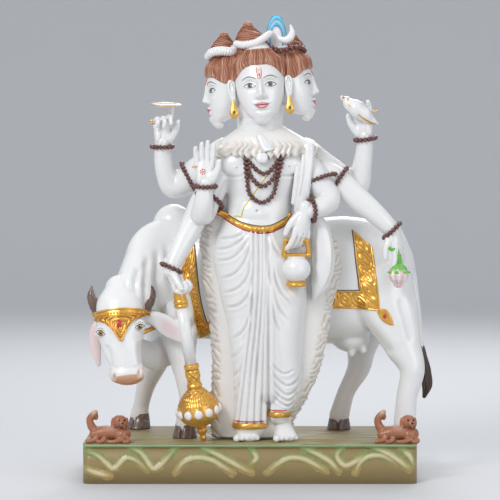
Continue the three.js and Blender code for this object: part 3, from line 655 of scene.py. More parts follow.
# %% Robe
ROBE = [(24, -46, 120, 43, 24), (24, -46, 150, 45, 27), (21, -48, 200, 50, 30), (18, -47, 245, 58, 33),
        (12, -45, 285, 60, 33), (9, -45, 318, 53, 31), (9, -45, 338, 46, 28), (9, -45, 346, 42, 26)]
PANEL = [(0, -49, 69, 21.5, 22), (0.5, -49, 100, 22, 23), (0, -48, 143, 23, 25), (2, -48, 190, 30, 27),
         (8, -47, 240, 40, 29)]
SHIN = [(38.5, -47, 85, 14, 20), (43, -47, 104, 17.5, 21), (45.5, -47, 147, 22, 24), (43.5, -48, 185, 23.5, 28),
        (40, -48, 240, 34, 30)]
HIP_FOLDS = [
    [(-5.7, 324.8), (-20.9, 318.2), (-44, 315.6)], [(-2.4, 324.2), (-14.3, 312.3), (-28.8, 304.3), (-48, 301)],
    [(-1.1, 320.2), (-11.6, 301.7), (-26.2, 289.8), (-47, 285.8)],
    [(0.5, 312.3), (-6.3, 289.8), (-19.6, 271.3), (-40, 262)],
    [(1.6, 300.4), (-3.7, 267.3), (-16.9, 251.4), (-38, 243.5)],
    [(2.9, 280.5), (-1.7, 246.2), (-14.3, 230.3), (-34, 225)],
    [(3.2, 254.1), (0.3, 221), (-9, 197.2), (-26, 181.4)],
    [(26.7, 310), (32, 267.3), (41.3, 246.2), (61.1, 223.7)], [(25.4, 296), (28, 260.7), (37.3, 227.6), (52, 205)],
    [(25.7, 322.8), (30.7, 306), (40, 294)], [(24.7, 300), (27, 250), (32, 215), (40, 190)],
]
PLEATS = [
    [(4.5, 326), (3.6, 267.4), (1.6, 214.6), (-6, 150), (-15.6, 76)], [(11, 326), (11.2, 267.4), (8.2, 214.6),
     (2, 150), (-5, 74)], [(16, 326), (16.4, 267.4), (14, 214.6), (9, 150), (5.6, 74)],
    [(20, 326), (20, 267.4), (19, 214.6), (17, 150), (14.8, 74)],
]
SPLIT = [(23, 326), (23.4, 267.4), (23.6, 214.6), (24, 150), (24.2, 72)]
SHIN_FOLDS = [
    [(26.7, 147.2), (34.7, 134), (49.2, 124), (62.5, 131.3), (70, 150)],
    [(26.7, 137.9), (37.3, 119.4), (50.5, 112.1), (62.5, 120.7), (69, 138)],
    [(27.4, 126), (38.6, 109.5), (50.5, 104.2), (59.8, 111.5), (66, 126)],
    [(28.7, 114.1), (40, 101.5), (50.5, 97.6), (58.5, 104.9)], [(27, 160), (33, 148), (45, 140), (60, 146)],
]
THIGH_FOLDS = [[(-6.4, 180.1), (-18.3, 164.2), (-28, 157.6)], [(-7.7, 157.6), (-18.3, 139.1), (-28, 133.8)],
               [(-10.3, 133.8), (-19.6, 117.9), (-27, 112.6)]]


def robe():
    mesh = fused([limb(ROBE, 72, 90, 6, level=True), limb(PANEL, 60, 60, 5, level=True),
                  limb(SHIN, 60, 60, 5, level=True)], 1.4, 5)
    co = places(mesh)
    front = ease(-co[:, 1], 46, 56)
    push = np.zeros(len(co))
    for fold in HIP_FOLDS:
        push += crease(co, fold, 2.6, 1.7, 0.22)
    for pleat in PLEATS:
        push += crease(co, pleat, 2.1, 1.9, 0.0)
    push += crease(co, SPLIT, 3.2, 3.4, 0.0)
    for fold in SHIN_FOLDS:
        push += crease(co, fold, 2.2, 1.4, 0.25)
    for fold in THIGH_FOLDS:
        push += crease(co, fold, 3.0, 1.0, 0.3)
    back = ease(co[:, 1], -40, -25)
    push += back * 0.8 * np.cos(co[:, 0] / 3.2 + co[:, 2] / 60)
    co += outward(mesh) * (push * np.maximum(front, back))[:, None]
    move(mesh, co)
    return mesh


cloth = robe()
ROBE_SKIN = skin_of(cloth)
print("robe points:", len(cloth.vertices))

# %% [markdown]
# The belt and the hems are gilded rolls. The belt lies on the robe's top edge, so it is a strip
# with a rounded relief; each hem goes all the way round the cloth, so it is a short tube.

# %% Belt and hems
BELT_TOP = [(-41, 356), (-37.4, 352.7), (-21.2, 342.1), (-3.9, 334.7), (20.9, 331.8), (35.7, 336.6),
            (51.9, 346.5), (57, 350)]
BELT_LOW = [(-43, 349), (-38.6, 346), (-22.5, 335.2), (-6.4, 327.5), (22.6, 323.8), (38.5, 329.6),
            (52, 338.2), (57, 343)]


def rolled(u, v):
    """A round roll with a few twists in the metal"""
    return 2.4 * np.sin(np.pi * v) ** 0.6 + 0.35 * np.sin(np.pi * v) * np.sin(u * 95 + v * 5)


def hem_ring(stations, bulge):
    def lumpy(angle, t):
        return bulge * np.sin(np.pi * t) + 0.35 * np.sin(angle * 9 + 1.0) * np.sin(np.pi * t)

    return limb(stations, 96, 8, 3, level=True, relief=lumpy, round_by=0.8)


FIGURE_SKIN = BODY_SKIN + ROBE_SKIN
belt = strip(FIGURE_SKIN, BELT_LOW, BELT_TOP, 10, 110, 0.2, rolled, 4)
red_line = stroke(FIGURE_SKIN, [(x, z - 0.9) for x, z in BELT_LOW], 1.3, 80, 1, thick=1.5, lift=0.35)
dark_line = stroke(FIGURE_SKIN, [(x, z + 0.5) for x, z in BELT_TOP], 1.0, 80, 1, thick=1.5, lift=0.35)
left_hem = [(-0.2, -49, 67.5, 23.4, 24), (0.3, -49, 75, 23.2, 24)]
right_hem = [(38.5, -47, 82, 15, 21.5), (38.7, -47, 89, 15.6, 22)]
hems = joined([hem_ring(left_hem, 1.2), hem_ring(right_hem, 1.2)])
hem_lines = joined([hem_ring([(0.2, -49, 77, 22.7, 24.2), (0.3, -49, 78, 22.7, 24.2)], 0.2),
                    hem_ring([(38.7, -47, 91, 15.3, 22), (38.8, -47, 92, 15.4, 22)], 0.2)])
finished("belt_and_hems", joined([belt, hems]), gold)
finished("red_edging", joined([red_line, hem_lines]), crimson)
finished("belt_shadow_line", dark_line, line_grey)
finished("figure_robe", cloth, marble)


# %% [markdown]
# Bare feet stand under the hems: an ankle that swells into the sole, five toes, and a nail cut
# into each. They are small, so they are fused with a finer voxel than the limbs.

# %% Feet
def foot(x, y, turn, ankle_top):
    sole = [(0, 4, ankle_top - BASE_TOP, 11, 12), (0, 4, 22, 11.5, 12.5), (0, -3, 13, 12.5, 13), (0, -14, 8.5, 14.5, 9),
            (0, -20, 6, 15.5, 6.5)]
    parts = [limb(sole, 40, 26), lump((0, 9, 7), (10, 10, 8))]
    for i in range(5):
        side = -13 + i * 6.4
        reach = -28 + i * 1.7
        size = 4.6 if i == 0 else 3.4 - i * 0.12
        parts.append(limb([(side * 0.9, -17, 6.5, size), (side * 1.05, reach, 4.6, size)], 16, 6))
    mesh = fused(parts, 0.9, 3)
    co = places(mesh)
    push = np.zeros(len(co))
    for i in range(5):
        side = (-13 + i * 6.4) * 1.05
        nail = np.exp(-(((co[:, 0] - side) / 1.8) ** 2) - ((co[:, 1] + 30.5 - i * 1.7) / 2.2) ** 2)
        push -= 0.5 * nail * (co[:, 2] > 4)
    move(mesh, co + outward(mesh) * push[:, None])
    mesh.transform(Matrix.Translation((x, y, BASE_TOP)) @ Matrix.Rotation(math.radians(turn), 4, "Z"))
    return mesh


finished("figure_feet", joined([foot(-2, -46, -4, 76), foot(44, -46, 8, 88)]), marble)

# %% [markdown]
# The mantle is an animal skin worn behind the figure: plain and smooth towards us, with a strip of
# shaggy fur along each side. The fur is cut as slanting locks whose tips stand out from the edge,
# and beige strokes are painted between them.

# %% Mantle
MANTLE = [(-50, 57, 55), (-53, 58, 75), (-52, 74, 102), (-50, 92, 142), (-51, 100, 178), (-57, 111, 237),
          (-63, 120, 272), (-66, 116, 307), (-60, 92, 345), (-48, 80, 395)]
LOCK = 9.0


def lock_wave(x, z, size=LOCK, slant=0.75):
    """Overlapping locks that hang down and outwards: a saw wave with a ragged phase"""
    phase = (z - slant * np.abs(x)) / size + 0.35 * np.sin(z / 7.3) + 0.25 * np.sin(x / 3.1 + z / 5.7)
    saw = phase - np.floor(phase)
    return saw


def mantle():
    stations = [((left + right) / 2, -35, z, (right - left) / 2, 17) for left, right, z in MANTLE]
    mesh = limb(stations, 150, 190, 5, level=True, bias=-0.25, round_by=3)
    co = places(mesh)
    heights = [row[2] for row in MANTLE]
    left = np.interp(co[:, 2], heights, [row[0] for row in MANTLE])
    right = np.interp(co[:, 2], heights, [row[1] for row in MANTLE])
    inside = np.minimum(co[:, 0] - left, right - co[:, 0])
    middle = (left + right) / 2
    edge = 1 - ease(inside, 9, 15)
    locks = lock_wave(co[:, 0] - middle, co[:, 2])
    fine = np.sin((co[:, 2] * 0.8 + np.abs(co[:, 0] - middle) * 0.9) * 2.1 + 2 * np.sin(co[:, 2] / 6))
    push = edge * (2.6 * locks - 1.0 + 0.45 * fine)
    co += outward(mesh) * push[:, None]
    move(mesh, co)
    dark = np.clip(1.0 - 1.3 * locks + 0.35 * fine, 0, 1)
    number(mesh, "strand", 1 - edge * dark * 0.85)
    return mesh


finished("fur_mantle", mantle(), fur)

# %% [markdown]
# A short cape of the same skin covers the shoulders. Its upper part is smooth, its lower edge
# shaggy, and its two ends cross at the throat in a folded strip with a small tab.

# %% Cape
CAPE = [(20, -40, 427, 71, 39), (20, -40, 433, 72, 38), (19, -40, 441, 62, 34), (18, -41, 449, 50, 30),
        (17, -41, 456, 39, 25), (16, -42, 461, 31, 21)]


def cape():
    mesh = limb(CAPE, 260, 60, 6, level=True, bias=0.2, round_by=4)
    co = places(mesh)
    round_it = np.arctan2(co[:, 0] - 19, -(co[:, 1] + 40))
    drop = 3.5 * np.cos(np.clip((co[:, 0] - 16) / 18, -1.57, 1.57)) * (co[:, 1] < -40)
    low = 1 - ease(co[:, 2], 432, 447)
    co[:, 2] -= drop * low
    bend = round_it + 0.05 * np.sin(co[:, 2] / 2.7)
    tufts = 0.5 + 0.5 * np.sin(bend * 34 + 1.5 * np.sin(bend * 9))
    fine = np.sin(bend * 118 + 3 * np.sin(bend * 13))
    co += outward(mesh) * (low * (2.6 * tufts - 0.6 + 0.45 * fine))[:, None]
    co[:, 2] -= low * (co[:, 2] < 432) * 3.0 * tufts
    move(mesh, co)
    dark = np.clip(0.35 + 0.45 * fine + 0.4 * (0.5 - tufts), 0, 1)
    number(mesh, "strand", 1 - low * dark * 0.9)
    return mesh


shoulders = cape()
CAPE_SKIN = skin_of(shoulders)


def folded_strip(u, v):
    return 2.2 * np.sin(np.pi * v) ** 0.4


strip_low = [(7.5, 449), (11, 440), (17.5, 427)]
strip_high = [(17.5, 450), (25, 441), (31.5, 431)]
crossing = strip(CAPE_SKIN + BODY_SKIN, strip_low, strip_high, 8, 16, 0.6, folded_strip, 3, -80)
tab = limb([(15.5, -81.5, 424, 7.2, 3), (15.3, -82.5, 419, 7.6, 3.4), (15, -82.5, 416.5, 6.6, 3)], 32, 12, 4)
finished("shoulder_cape", shoulders, fur)
finished("cape_knot", joined([crossing, tab]), marble)

# %% [markdown]
# From the cape a narrow band of cloth hangs beside the chest, and a full soft lobe of it bulges
# at the hip. Both are smooth tubes with a few long creases.

# %% Hanging cloth
def hanging_cloth():
    lobe = limb([(84, -55, 238, 4, 7), (91, -58, 256, 12, 12), (96, -58, 290, 15, 14), (92, -56, 325, 13, 13),
                 (84, -54, 345, 9, 11), (80, -50, 358, 6, 8)], 48, 50)
    band = limb([(76, -60, 437, 8, 5), (74, -66, 410, 8.5, 5.5), (69, -67, 378, 9, 6), (66, -64, 352, 9, 7)], 40, 50)
    fold = limb([(64, -60, 432, 3, 3), (60, -66, 398, 3, 3), (56, -66, 362, 3, 3)], 20, 30)
    mesh = fused([lobe, band, fold], 1.3, 5)
    co = places(mesh)
    push = crease(co, [(72, 436), (69, 400), (64, 365)], 1.8, 1.5)
    push += crease(co, [(98, 340), (108, 310), (106, 270), (96, 248)], 2.4, 1.0)
    push += crease(co, [(86, 335), (84, 300), (84, 262)], 2.6, 0.8)
    move(mesh, co + outward(mesh) * (push * (co[:, 1] < -52))[:, None])
    return mesh


finished("hanging_cloth", hanging_cloth(), marble)

# %% [markdown]
# Strings of brown seeds are worn on the chest, wrists and upper arms. One seed is a low ball of
# eighty faces, pinched into ribs, and a few hundred of them lie side by side along each string.

# %% Seed beads
BEAD = 3.3


def bead_string(path, size=BEAD, closed=False):
    """Seeds side by side along a list of places"""
    p = np.array(path, float)
    if closed:
        p = np.vstack([p, p[:1]])
    gaps = np.linalg.norm(np.diff(p, axis=0), axis=1)
    at = np.r_[0, np.cumsum(gaps)]
    count = max(2, round(at[-1] / (size * 1.72)))
    where = np.linspace(0, at[-1], count + 1 if closed else count)
    if closed:
        where = where[:-1]
    centres = np.c_[[np.interp(where, at, p[:, k]) for k in range(3)]].T
    ahead = np.c_[[np.interp(where + 0.5, at, p[:, k]) - np.interp(where - 0.5, at, p[:, k])
                   for k in range(3)]].T
    return [(tuple(c), tuple(a), size) for c, a in zip(centres, ahead)]


def seeds(list_of_beads):
    bm = bmesh.new()
    for centre, ahead, size in list_of_beads:
        turn = Vector((0, 0, 1)).rotation_difference(Vector(ahead)).to_matrix().to_4x4()
        spin_it = Matrix.Rotation(centre[0] * 1.7 + centre[2], 4, "Z")
        matrix = Matrix.Translation(centre) @ turn @ spin_it @ Matrix.Diagonal((1, 1, 0.86, 1))
        bmesh.ops.create_icosphere(bm, subdivisions=2, radius=size, matrix=matrix)
    mesh = as_mesh(bm)
    co = places(mesh)
    per_bead = len(co) // len(list_of_beads)
    own = np.repeat(np.array([bead[0] for bead in list_of_beads]), per_bead, axis=0)
    ribs = np.tile(np.where(np.arange(per_bead) % 3 == 0, -0.13, 0.05), len(list_of_beads))
    move(mesh, co + (co - own) * ribs[:, None])
    return mesh


def round_limb(centre, along, wide, deep, steps=40):
    """A ring of places about a limb"""
    turn = Vector((0, 0, 1)).rotation_difference(Vector(along)).to_matrix()
    a = np.linspace(0, 2 * np.pi, steps, endpoint=False)
    return [Vector(centre) + turn @ Vector((math.cos(k) * wide, math.sin(k) * deep, 0)) for k in a]


CHEST_STRINGS = [
    [(-7, 429), (-5.2, 422), (3.5, 409.9), (18.4, 399.8), (30.8, 408.6), (38.1, 424), (40, 430)],
    [(-7, 429), (-5.2, 417), (2.3, 394.8), (15.9, 383.6), (30.8, 394.8), (39, 417), (42, 430)],
    [(-8, 429), (-6.2, 416), (-3.9, 393), (-0.1, 372.6), (14.6, 362.7), (28.3, 370), (34.5, 388.6),
     (41.2, 417), (43, 430)],
]
BRACELETS = [
    ((-116, -25, 436), (0, -0.1, 1), 13.4, 13), ((-57.5, -84, 384), (0.02, -0.12, 1), 13.2, 12.6),
    ((-102, -77, 278), (-0.4, -0.1, -0.9), 13.2, 13), ((152, -25, 446), (-0.12, -0.1, 1), 13.4, 13),
    ((80, -75, 353), (-1, -0.35, -0.15), 14.4, 13.6), ((186, -46, 326), (0.7, 0, -0.75), 14, 13.4),
    ((-81, -16, 396), (-0.85, 0.05, -0.45), 20, 19), ((-53, -60, 366), (-0.5, -0.35, -0.85), 19.5, 18.5),
    ((92, -48, 392), (0.35, -0.15, -0.9), 21, 20.5), ((117, -32.5, 390), (0.85, -0.1, -0.5), 20.5, 20),
]


def bead_work():
    beads = []
    for line in CHEST_STRINGS:
        fine = spline(line, np.linspace(0, 1, 50))
        hits = [front_of(BODY_SKIN, x, z, -70) for x, z in fine]
        beads += bead_string([(hit.x, hit.y - 2.2, hit.z) for hit in hits])
    for centre, along, wide, deep in BRACELETS:
        beads += bead_string([tuple(v) for v in round_limb(centre, along, wide, deep)], closed=True)
    print("seed beads:", len(beads))
    return seeds(beads)


finished("seed_beads", bead_work(), seed)

# %% [markdown]
# A yellow thread crosses the chest to the belt, and three tiny dabs of blue green mark the chest
# and navel. They are paint, so they are strips a tenth of a millimetre proud.

# %% Thread and dabs
THREAD = [(53, 434), (46.9, 424.5), (23.3, 398.5), (1.1, 368.8), (-8.2, 355.2), (-11.9, 343.8), (-16.3, 345.3),
          (-20.6, 344.4)]
finished("sacred_thread", stroke(BODY_SKIN, THREAD, 1.5, 120, 1.0, 2, lift=0.3), thread_yellow)
dabs = [dot(BODY_SKIN, -17.3, 408, 0.9, 0.9, lift=0.2), dot(BODY_SKIN, 50.8, 409.5, 0.9, 0.9, lift=0.2),
        dot(BODY_SKIN, 9.1, 352, 1.4, 0.9, lift=0.5)]
finished("chest_dabs", joined(dabs), enamel("blue_green", (0.16, 0.42, 0.40)))

# %% [markdown]
# One head is carved upright, with its face towards -Y and its eyes level with zero, and set three
# times on the neck: one to the front and one to each side. The face is a calm one of the plain
# kind that workshops repeat, drawn by the usual rules: the eyes at half the head's height, one eye
# width apart, the nose as long as the ear, the mouth a third of the way down to the chin.

# %% Skull and face
SKULL = [(0, -25, -42, 12, 8), (0, -19, -35, 20.5, 16), (0, -14, -23, 27, 22.5), (0, -7, -6, 31.5, 29),
         (0, -3, 12, 32.5, 33.5), (0, 0, 28, 30.5, 33), (0, 3, 40, 20, 23)]
EYE_X = 13.4
MOUTH_Z = -25.5


def face_relief(co):
    """How far the front of the head stands out from the plain skull, as a sum of soft dabs"""
    out = np.zeros(len(co))
    for side in (-1, 1):
        out += brush(co, side * EYE_X, 2.2, 9.5, 5.8, -2.9)
        out += brush(co, side * EYE_X, 10.5, 10.5, 2.6, 1.0)
        out += brush(co, side * EYE_X, 0.1, 7.2, 3.5, 2.7)
        out += brush(co, side * EYE_X, -5.4, 7.0, 1.5, -0.5)
        out += brush(co, side * 19.5, -12, 9.5, 9.5, 1.5)
        out += brush(co, side * 5.3, -14.2, 2.5, 2.4, 3.0)
        out += brush(co, side * 3.0, -17.4, 1.4, 1.0, -1.1)
        out += brush(co, side * 3.1, -23.4, 3.9, 1.5, 1.6)
        out += brush(co, side * 10.5, MOUTH_Z + 0.8, 1.8, 1.8, -1.1)
        out += brush(co, side * 8.2, -18.5, 2.2, 5.0, -0.5)
    for z, wide, high, amount in [(6.5, 3.2, 6, 2.4), (-2, 3.1, 6, 4.2), (-8.5, 3.6, 4.6, 4.6), (-12.8, 4.0, 3.2, 6.0)]:
        out += brush(co, 0, z, wide, high, amount)
    out += brush(co, 0, -18.3, 7.5, 1.9, -1.6)
    out += brush(co, 0, -26, 14, 8, 1.9)
    out += brush(co, 0, -20.5, 1.3, 2.2, -0.6)
    out += brush(co, 0, -28.3, 5.8, 2.0, 2.3)
    out += brush(co, 0, -32.4, 7, 1.9, -1.6)
    out += brush(co, 0, -38.5, 8, 5.2, 2.8)
    mouth = crease(co, [(-10.5, MOUTH_Z + 1.0), (-5, MOUTH_Z - 0.3), (0, MOUTH_Z + 0.3), (5, MOUTH_Z - 0.3),
                        (10.5, MOUTH_Z + 1.0)], 0.9, 0.95, 0.2)
    lids = np.zeros(len(co))
    for side in (-1, 1):
        lids += crease(co, [(side * 5.5, 1.8), (side * 10, 5.6), (side * 16, 6.0), (side * 22, 2.6)], 1.0, 0.5, 0.3)
    return out + mouth + lids


def carved_face():
    mesh = limb(SKULL, 190, 130, 14, level=True, bias=0.42)
    co = places(mesh)
    front = ease(-co[:, 1], 4, 20)
    push = face_relief(co) * front
    co[:, 1] -= push
    co[:, 2] -= 0.10 * np.maximum(push - 4, 0)
    move(mesh, co)
    return mesh


# %% [markdown]
# The hair is a second shell over the skull that stands proud above the hairline and sinks into the
# stone below it, so the hairline is where the two cross. Its strands run from the hairline up and
# back to the topknot, so they are grooves of equal bearing as seen from the topknot.

# %% Combed hair
HAIRLINE = [(0, 25.5), (18, 25.5), (30, 23.5), (42, 19), (54, 13), (66, 9), (80, 8), (100, 6), (180, -6)]
SIDE_HAIRLINE = [(0, 16), (18, 16.5), (34, 15), (48, 10), (60, 6), (80, 5), (100, 4), (180, -6)]
CROWN = (0, 6, 62)


def strand_pattern(bearing, reach):
    """Fine strands and broad locks: heights in millimetres and a light and dark tone"""
    sway = bearing + 0.04 * np.sin(reach / 9.0 + bearing * 5) + 0.015 * np.sin(reach / 3.1 + bearing * 17)
    broad = np.sin(sway * 17 + 1.1 * np.sin(sway * 5))
    fine = np.sin(sway * 58 + 2.6 * np.sin(sway * 13) + reach * 0.10)
    finest = np.sin(sway * 131 + 3.2 * np.sin(sway * 19) - reach * 0.08)
    patches = np.sin(reach / 4.3 + sway * 23) * np.sin(reach / 7.1 - sway * 9)
    tone = 0.47 + 0.24 * fine * (0.6 + 0.4 * patches) + 0.22 * finest + 0.13 * broad
    return 0.6 * broad + 0.55 * fine + 0.2 * finest, tone


def combed_hair(hairline):
    mesh = limb(SKULL[2:], 320, 96, 12, level=True, bias=0.15)
    co = places(mesh)
    away = unit(co - np.array([0, 2, 5]))
    bearing = np.degrees(np.arctan2(np.abs(co[:, 0]), -co[:, 1]))
    line = np.interp(bearing, [row[0] for row in hairline], [row[1] for row in hairline])
    above = co[:, 2] - line
    from_crown = co - np.array(CROWN)
    round_it = np.arctan2(from_crown[:, 0], -from_crown[:, 1])
    reach = np.linalg.norm(from_crown, axis=1)
    height, tone = strand_pattern(round_it, reach)
    fringe = ease(above, -2.0, 3.4)
    rise = -3.4 + fringe * (6.2 + 2.2 * ease(co[:, 2], 14, 34)) + ease(above, 0.3, 4) * height
    co += away * rise[:, None]
    co[:, 2] = np.minimum(co[:, 2], 47 + 0.12 * (co[:, 2] - 47))
    move(mesh, co)
    root = 1 - ease(above, 0.5, 7)
    number(mesh, "strand", np.clip(tone + 0.14 * root, 0, 1))
    bm = bmesh.new()
    bm.from_mesh(mesh)
    bpy.data.meshes.remove(mesh)
    bm.verts.ensure_lookup_table()
    low = [bm.verts[i] for i in np.flatnonzero(above < -9)]
    bmesh.ops.delete(bm, geom=low, context="VERTS")
    bmesh.ops.holes_fill(bm, edges=bm.edges[:])
    return as_mesh(bm)


# %% [markdown]
# The ears are small flat shells with a hollow, and long lobes. Drop earrings hang from them, each
# a pear-shaped drop of gold with a green stone.

# %% Ears and earrings
def ear(side):
    mesh = limb([(side * 36.0, -13, -18, 2.6, 2.4), (side * 36.6, -12.5, -12, 4.0, 3.0), (side * 37.2, -12, -4, 5.2, 3.8),
                 (side * 37.4, -11, 4, 5.6, 4.0), (side * 36.9, -10, 8, 4.8, 3.6)], 60, 60, 8)
    co = places(mesh)
    front = co[:, 1] < -12
    push = brush(co, side * 37.6, 2, 2.5, 6.5, -1.9) + brush(co, side * 37.0, -9.5, 1.6, 3.5, -1.0)
    co[:, 1] -= push * front
    move(mesh, co)
    skin = skin_of(mesh)
    rim = stroke(skin, [(side * 35.4, -5), (side * 34.9, 3), (side * 37.2, 8.6), (side * 39.6, 3), (side * 38.6, -6)],
                 0.5, 24, 0.4, lift=0.12, y_guess=-16)
    return mesh, rim


def drop_earring(side):
    x, y, z = side * 36.2, -17.5, -16
    drop = fine_turned([(0, 0), (2.6, 0.6), (5.2, 3.6), (6.0, 6.6), (5.2, 10.5), (3.4, 16), (1.6, 22), (0.9, 25), (0, 25.6)],
                       40, 0.8)
    co = places(drop)
    facet = 1 + 0.07 * np.cos(np.arctan2(co[:, 1], co[:, 0]) * 6 + math.pi)
    co[:, :2] *= facet[:, None]
    co[:, 1] *= 0.62
    move(drop, co)
    drop.transform(Matrix.Translation((x, y, z - 24)))
    stone = lump((x, y - 3.6, z - 15.5), (1.7, 1.0, 2.7), 14, 9)
    return drop, stone


def turned(profile, steps=32, rows=None):
    """A turned form: the profile of radius and height goes once round the axis"""
    points = profile
    if rows:
        points = [tuple(p) for p in spline(profile, np.linspace(0, 1, rows))]
    bm = bmesh.new()
    ring = [bm.verts.new((max(r, 0), 0, h)) for r, h in points]
    edges = [bm.edges.new(pair) for pair in zip(ring, ring[1:])]
    bmesh.ops.spin(bm, geom=ring + edges, cent=(0, 0, 0), axis=(0, 0, 1), angle=2 * math.pi, steps=steps,
                   use_merge=True)
    bmesh.ops.remove_doubles(bm, verts=bm.verts, dist=1e-4)
    bmesh.ops.recalc_face_normals(bm, faces=bm.faces)
    return as_mesh(bm)


def fine_turned(profile, steps, gap):
    """The same profile with more places along it, so that relief can be cut in"""
    p = np.array(profile, float)
    at = np.r_[0, np.cumsum(np.linalg.norm(np.diff(p, axis=0), axis=1))]
    where = np.unique(np.r_[at, np.arange(0, at[-1], gap)])
    points = np.c_[np.interp(where, at, p[:, 0]), np.interp(where, at, p[:, 1])]
    soft = points.copy()
    for _ in range(3):
        soft[1:-1] = 0.5 * soft[1:-1] + 0.25 * (soft[:-2] + soft[2:])
    return turned([tuple(q) for q in soft], steps)


# %% [markdown]
# The features are painted with fine brush lines: pink lips, grey brows and lids, a green iris and
# a dark pupil with a white dot on it as a painted highlight, and a thin orange forehead mark of two lines and a drop.

# %% Painted features
def eye_paint(skin, side):
    """White, iris, pupil, a painted highlight and lid lines of one eye"""
    inner, outer = side * 5.9, side * 21.2
    top = [(inner, -1.2), (side * 9.0, 1.8), (side * 13.4, 3.0), (side * 17.6, 2.0), (outer, -0.4)]
    low = [(inner, -1.2), (side * 9.0, -2.0), (side * 13.4, -2.6), (side * 17.6, -2.0), (outer, -0.4)]
    t = np.linspace(0, 1, 21)
    upper, lower = spline(top, t), spline(low, t)
    white = strip(skin, lower, upper, 5, 20, 0.10)
    x = np.linspace(-1, 1, 15)
    half = 3.0 * np.sqrt(1 - x**2)
    at = side * 13.2 + 3.0 * x
    lid = np.interp(at * side, upper[:, 0] * side, upper[:, 1])
    floor = np.interp(at * side, lower[:, 0] * side, lower[:, 1])
    iris = strip(skin, np.c_[at, np.maximum(0.4 - half, floor)], np.c_[at, np.minimum(0.4 + half, lid)], 4, 14, 0.22)
    pupil = dot(skin, side * 13.2, 0.6, 1.25, 1.25, lift=0.34)
    # a small white dot on the pupil: a painted highlight
    face_eye_highlight = dot(skin, side * 13.2 + 0.9, 1.3, 0.4, 0.4, lift=0.44)
    upper_line = stroke(skin, upper + (0, 0.25), 1.05, 22, 0.5, lift=0.26)
    lower_line = stroke(skin, lower, 0.5, 22, 0.4, lift=0.22)
    brow = stroke(skin, [(side * 4.6, 8.3), (side * 10, 11.0), (side * 16, 11.4), (side * 23, 8.0)], 1.2, 22, 0.25,
                  lift=0.2)
    return white, iris, pupil, face_eye_highlight, upper_line, lower_line, brow


def lip_paint(skin):
    half = 10.0
    corner = MOUTH_Z + 0.9
    line = [(-half, corner), (-5, MOUTH_Z - 0.3), (0, MOUTH_Z + 0.3), (5, MOUTH_Z - 0.3), (half, corner)]
    upper = [(-half, corner), (-4.5, -22.9), (-1.6, -22.2), (0, -22.8), (1.6, -22.2), (4.5, -22.9), (half, corner)]
    lower = [(-half, corner), (-5, -28.9), (0, -30.2), (5, -28.9), (half, corner)]
    return [strip(skin, line, upper, 4, 24, 0.12), strip(skin, lower, line, 4, 24, 0.12)]


def forehead_mark(skin):
    lines = [stroke(skin, [(-2.9, 22.5), (-2.8, 15), (-1.6, 9.6), (0, 7.6)], 1.1, 16, 0.7, lift=0.2),
             stroke(skin, [(2.9, 22.5), (2.8, 15), (1.6, 9.6), (0, 7.6)], 1.1, 16, 0.7, lift=0.2),
             dot(skin, 0, 13.2, 0.9, 3.0, lift=0.25), dot(skin, 0, 19, 0.5, 1.6, lift=0.25)]
    return lines


HEAD_CENTRE = (13, -50, 514)
HEAD_LEAN = -5
SIDE_HEAD_TURN = 82
SIDE_HEAD_OUT = 33
SIDE_HEAD_BACK = 24


def three_times(mesh, sides=(-1, 0, 1)):
    """The same carving on all three heads, or on some of them"""
    lean = Matrix.Translation(HEAD_CENTRE) @ Matrix.Rotation(math.radians(HEAD_LEAN), 4, "Y")
    copies = []
    for side in sides:
        copy = mesh.copy()
        if side:
            turn = Matrix.Rotation(math.radians(side * SIDE_HEAD_TURN), 4, "Z")
            copy.transform(Matrix.Translation((side * SIDE_HEAD_OUT, SIDE_HEAD_BACK, 0)) @ turn)
        copy.transform(lean)
        copies.append(copy)
    bpy.data.meshes.remove(mesh)
    return joined(copies)


face = carved_face()
FACE_SKIN = skin_of(face)
eyes = [eye_paint(FACE_SKIN, side) for side in (-1, 1)]
whites, irises, pupils, face_eye_highlights, uppers, lowers, brows = (joined(list(parts)) for parts in zip(*eyes))
# the eye whites share their white with the painted highlights
finished("face_eye_whites_and_highlights", three_times(joined([whites, face_eye_highlights])), pearl)
finished("face_irises", three_times(irises), iris_green)
finished("face_dark_lines", three_times(joined([pupils, uppers])), line_black)
finished("face_grey_lines", three_times(joined([lowers, brows])), line_grey)
finished("face_lips", three_times(joined(lip_paint(FACE_SKIN))), lip_pink)
finished("forehead_mark", three_times(joined(forehead_mark(FACE_SKIN))), vermilion)
finished("figure_faces", three_times(face), marble)
locks_of_hair = joined([three_times(combed_hair(HAIRLINE), (0,)), three_times(combed_hair(SIDE_HAIRLINE), (-1, 1))])
HAIR_SKIN = skin_of(locks_of_hair)
finished("figure_hair", locks_of_hair, hair)
shells, ear_lines = zip(*(ear(side) for side in (-1, 1)))
finished("figure_ears", three_times(joined(list(shells)), (0,)), marble)
finished("ear_lines", three_times(joined(list(ear_lines)), (0,)), line_grey)
drops, stones = zip(*(drop_earring(side) for side in (-1, 1)))
finished("earrings", three_times(joined(list(drops)), (0,)), gold)
finished("earring_stones", three_times(joined(list(stones)), (0,)), emerald)

# %% [markdown]
# Each head has a topknot of coiled hair. The coils are a spiral groove round a dome, with finer
# strands that follow the turns.

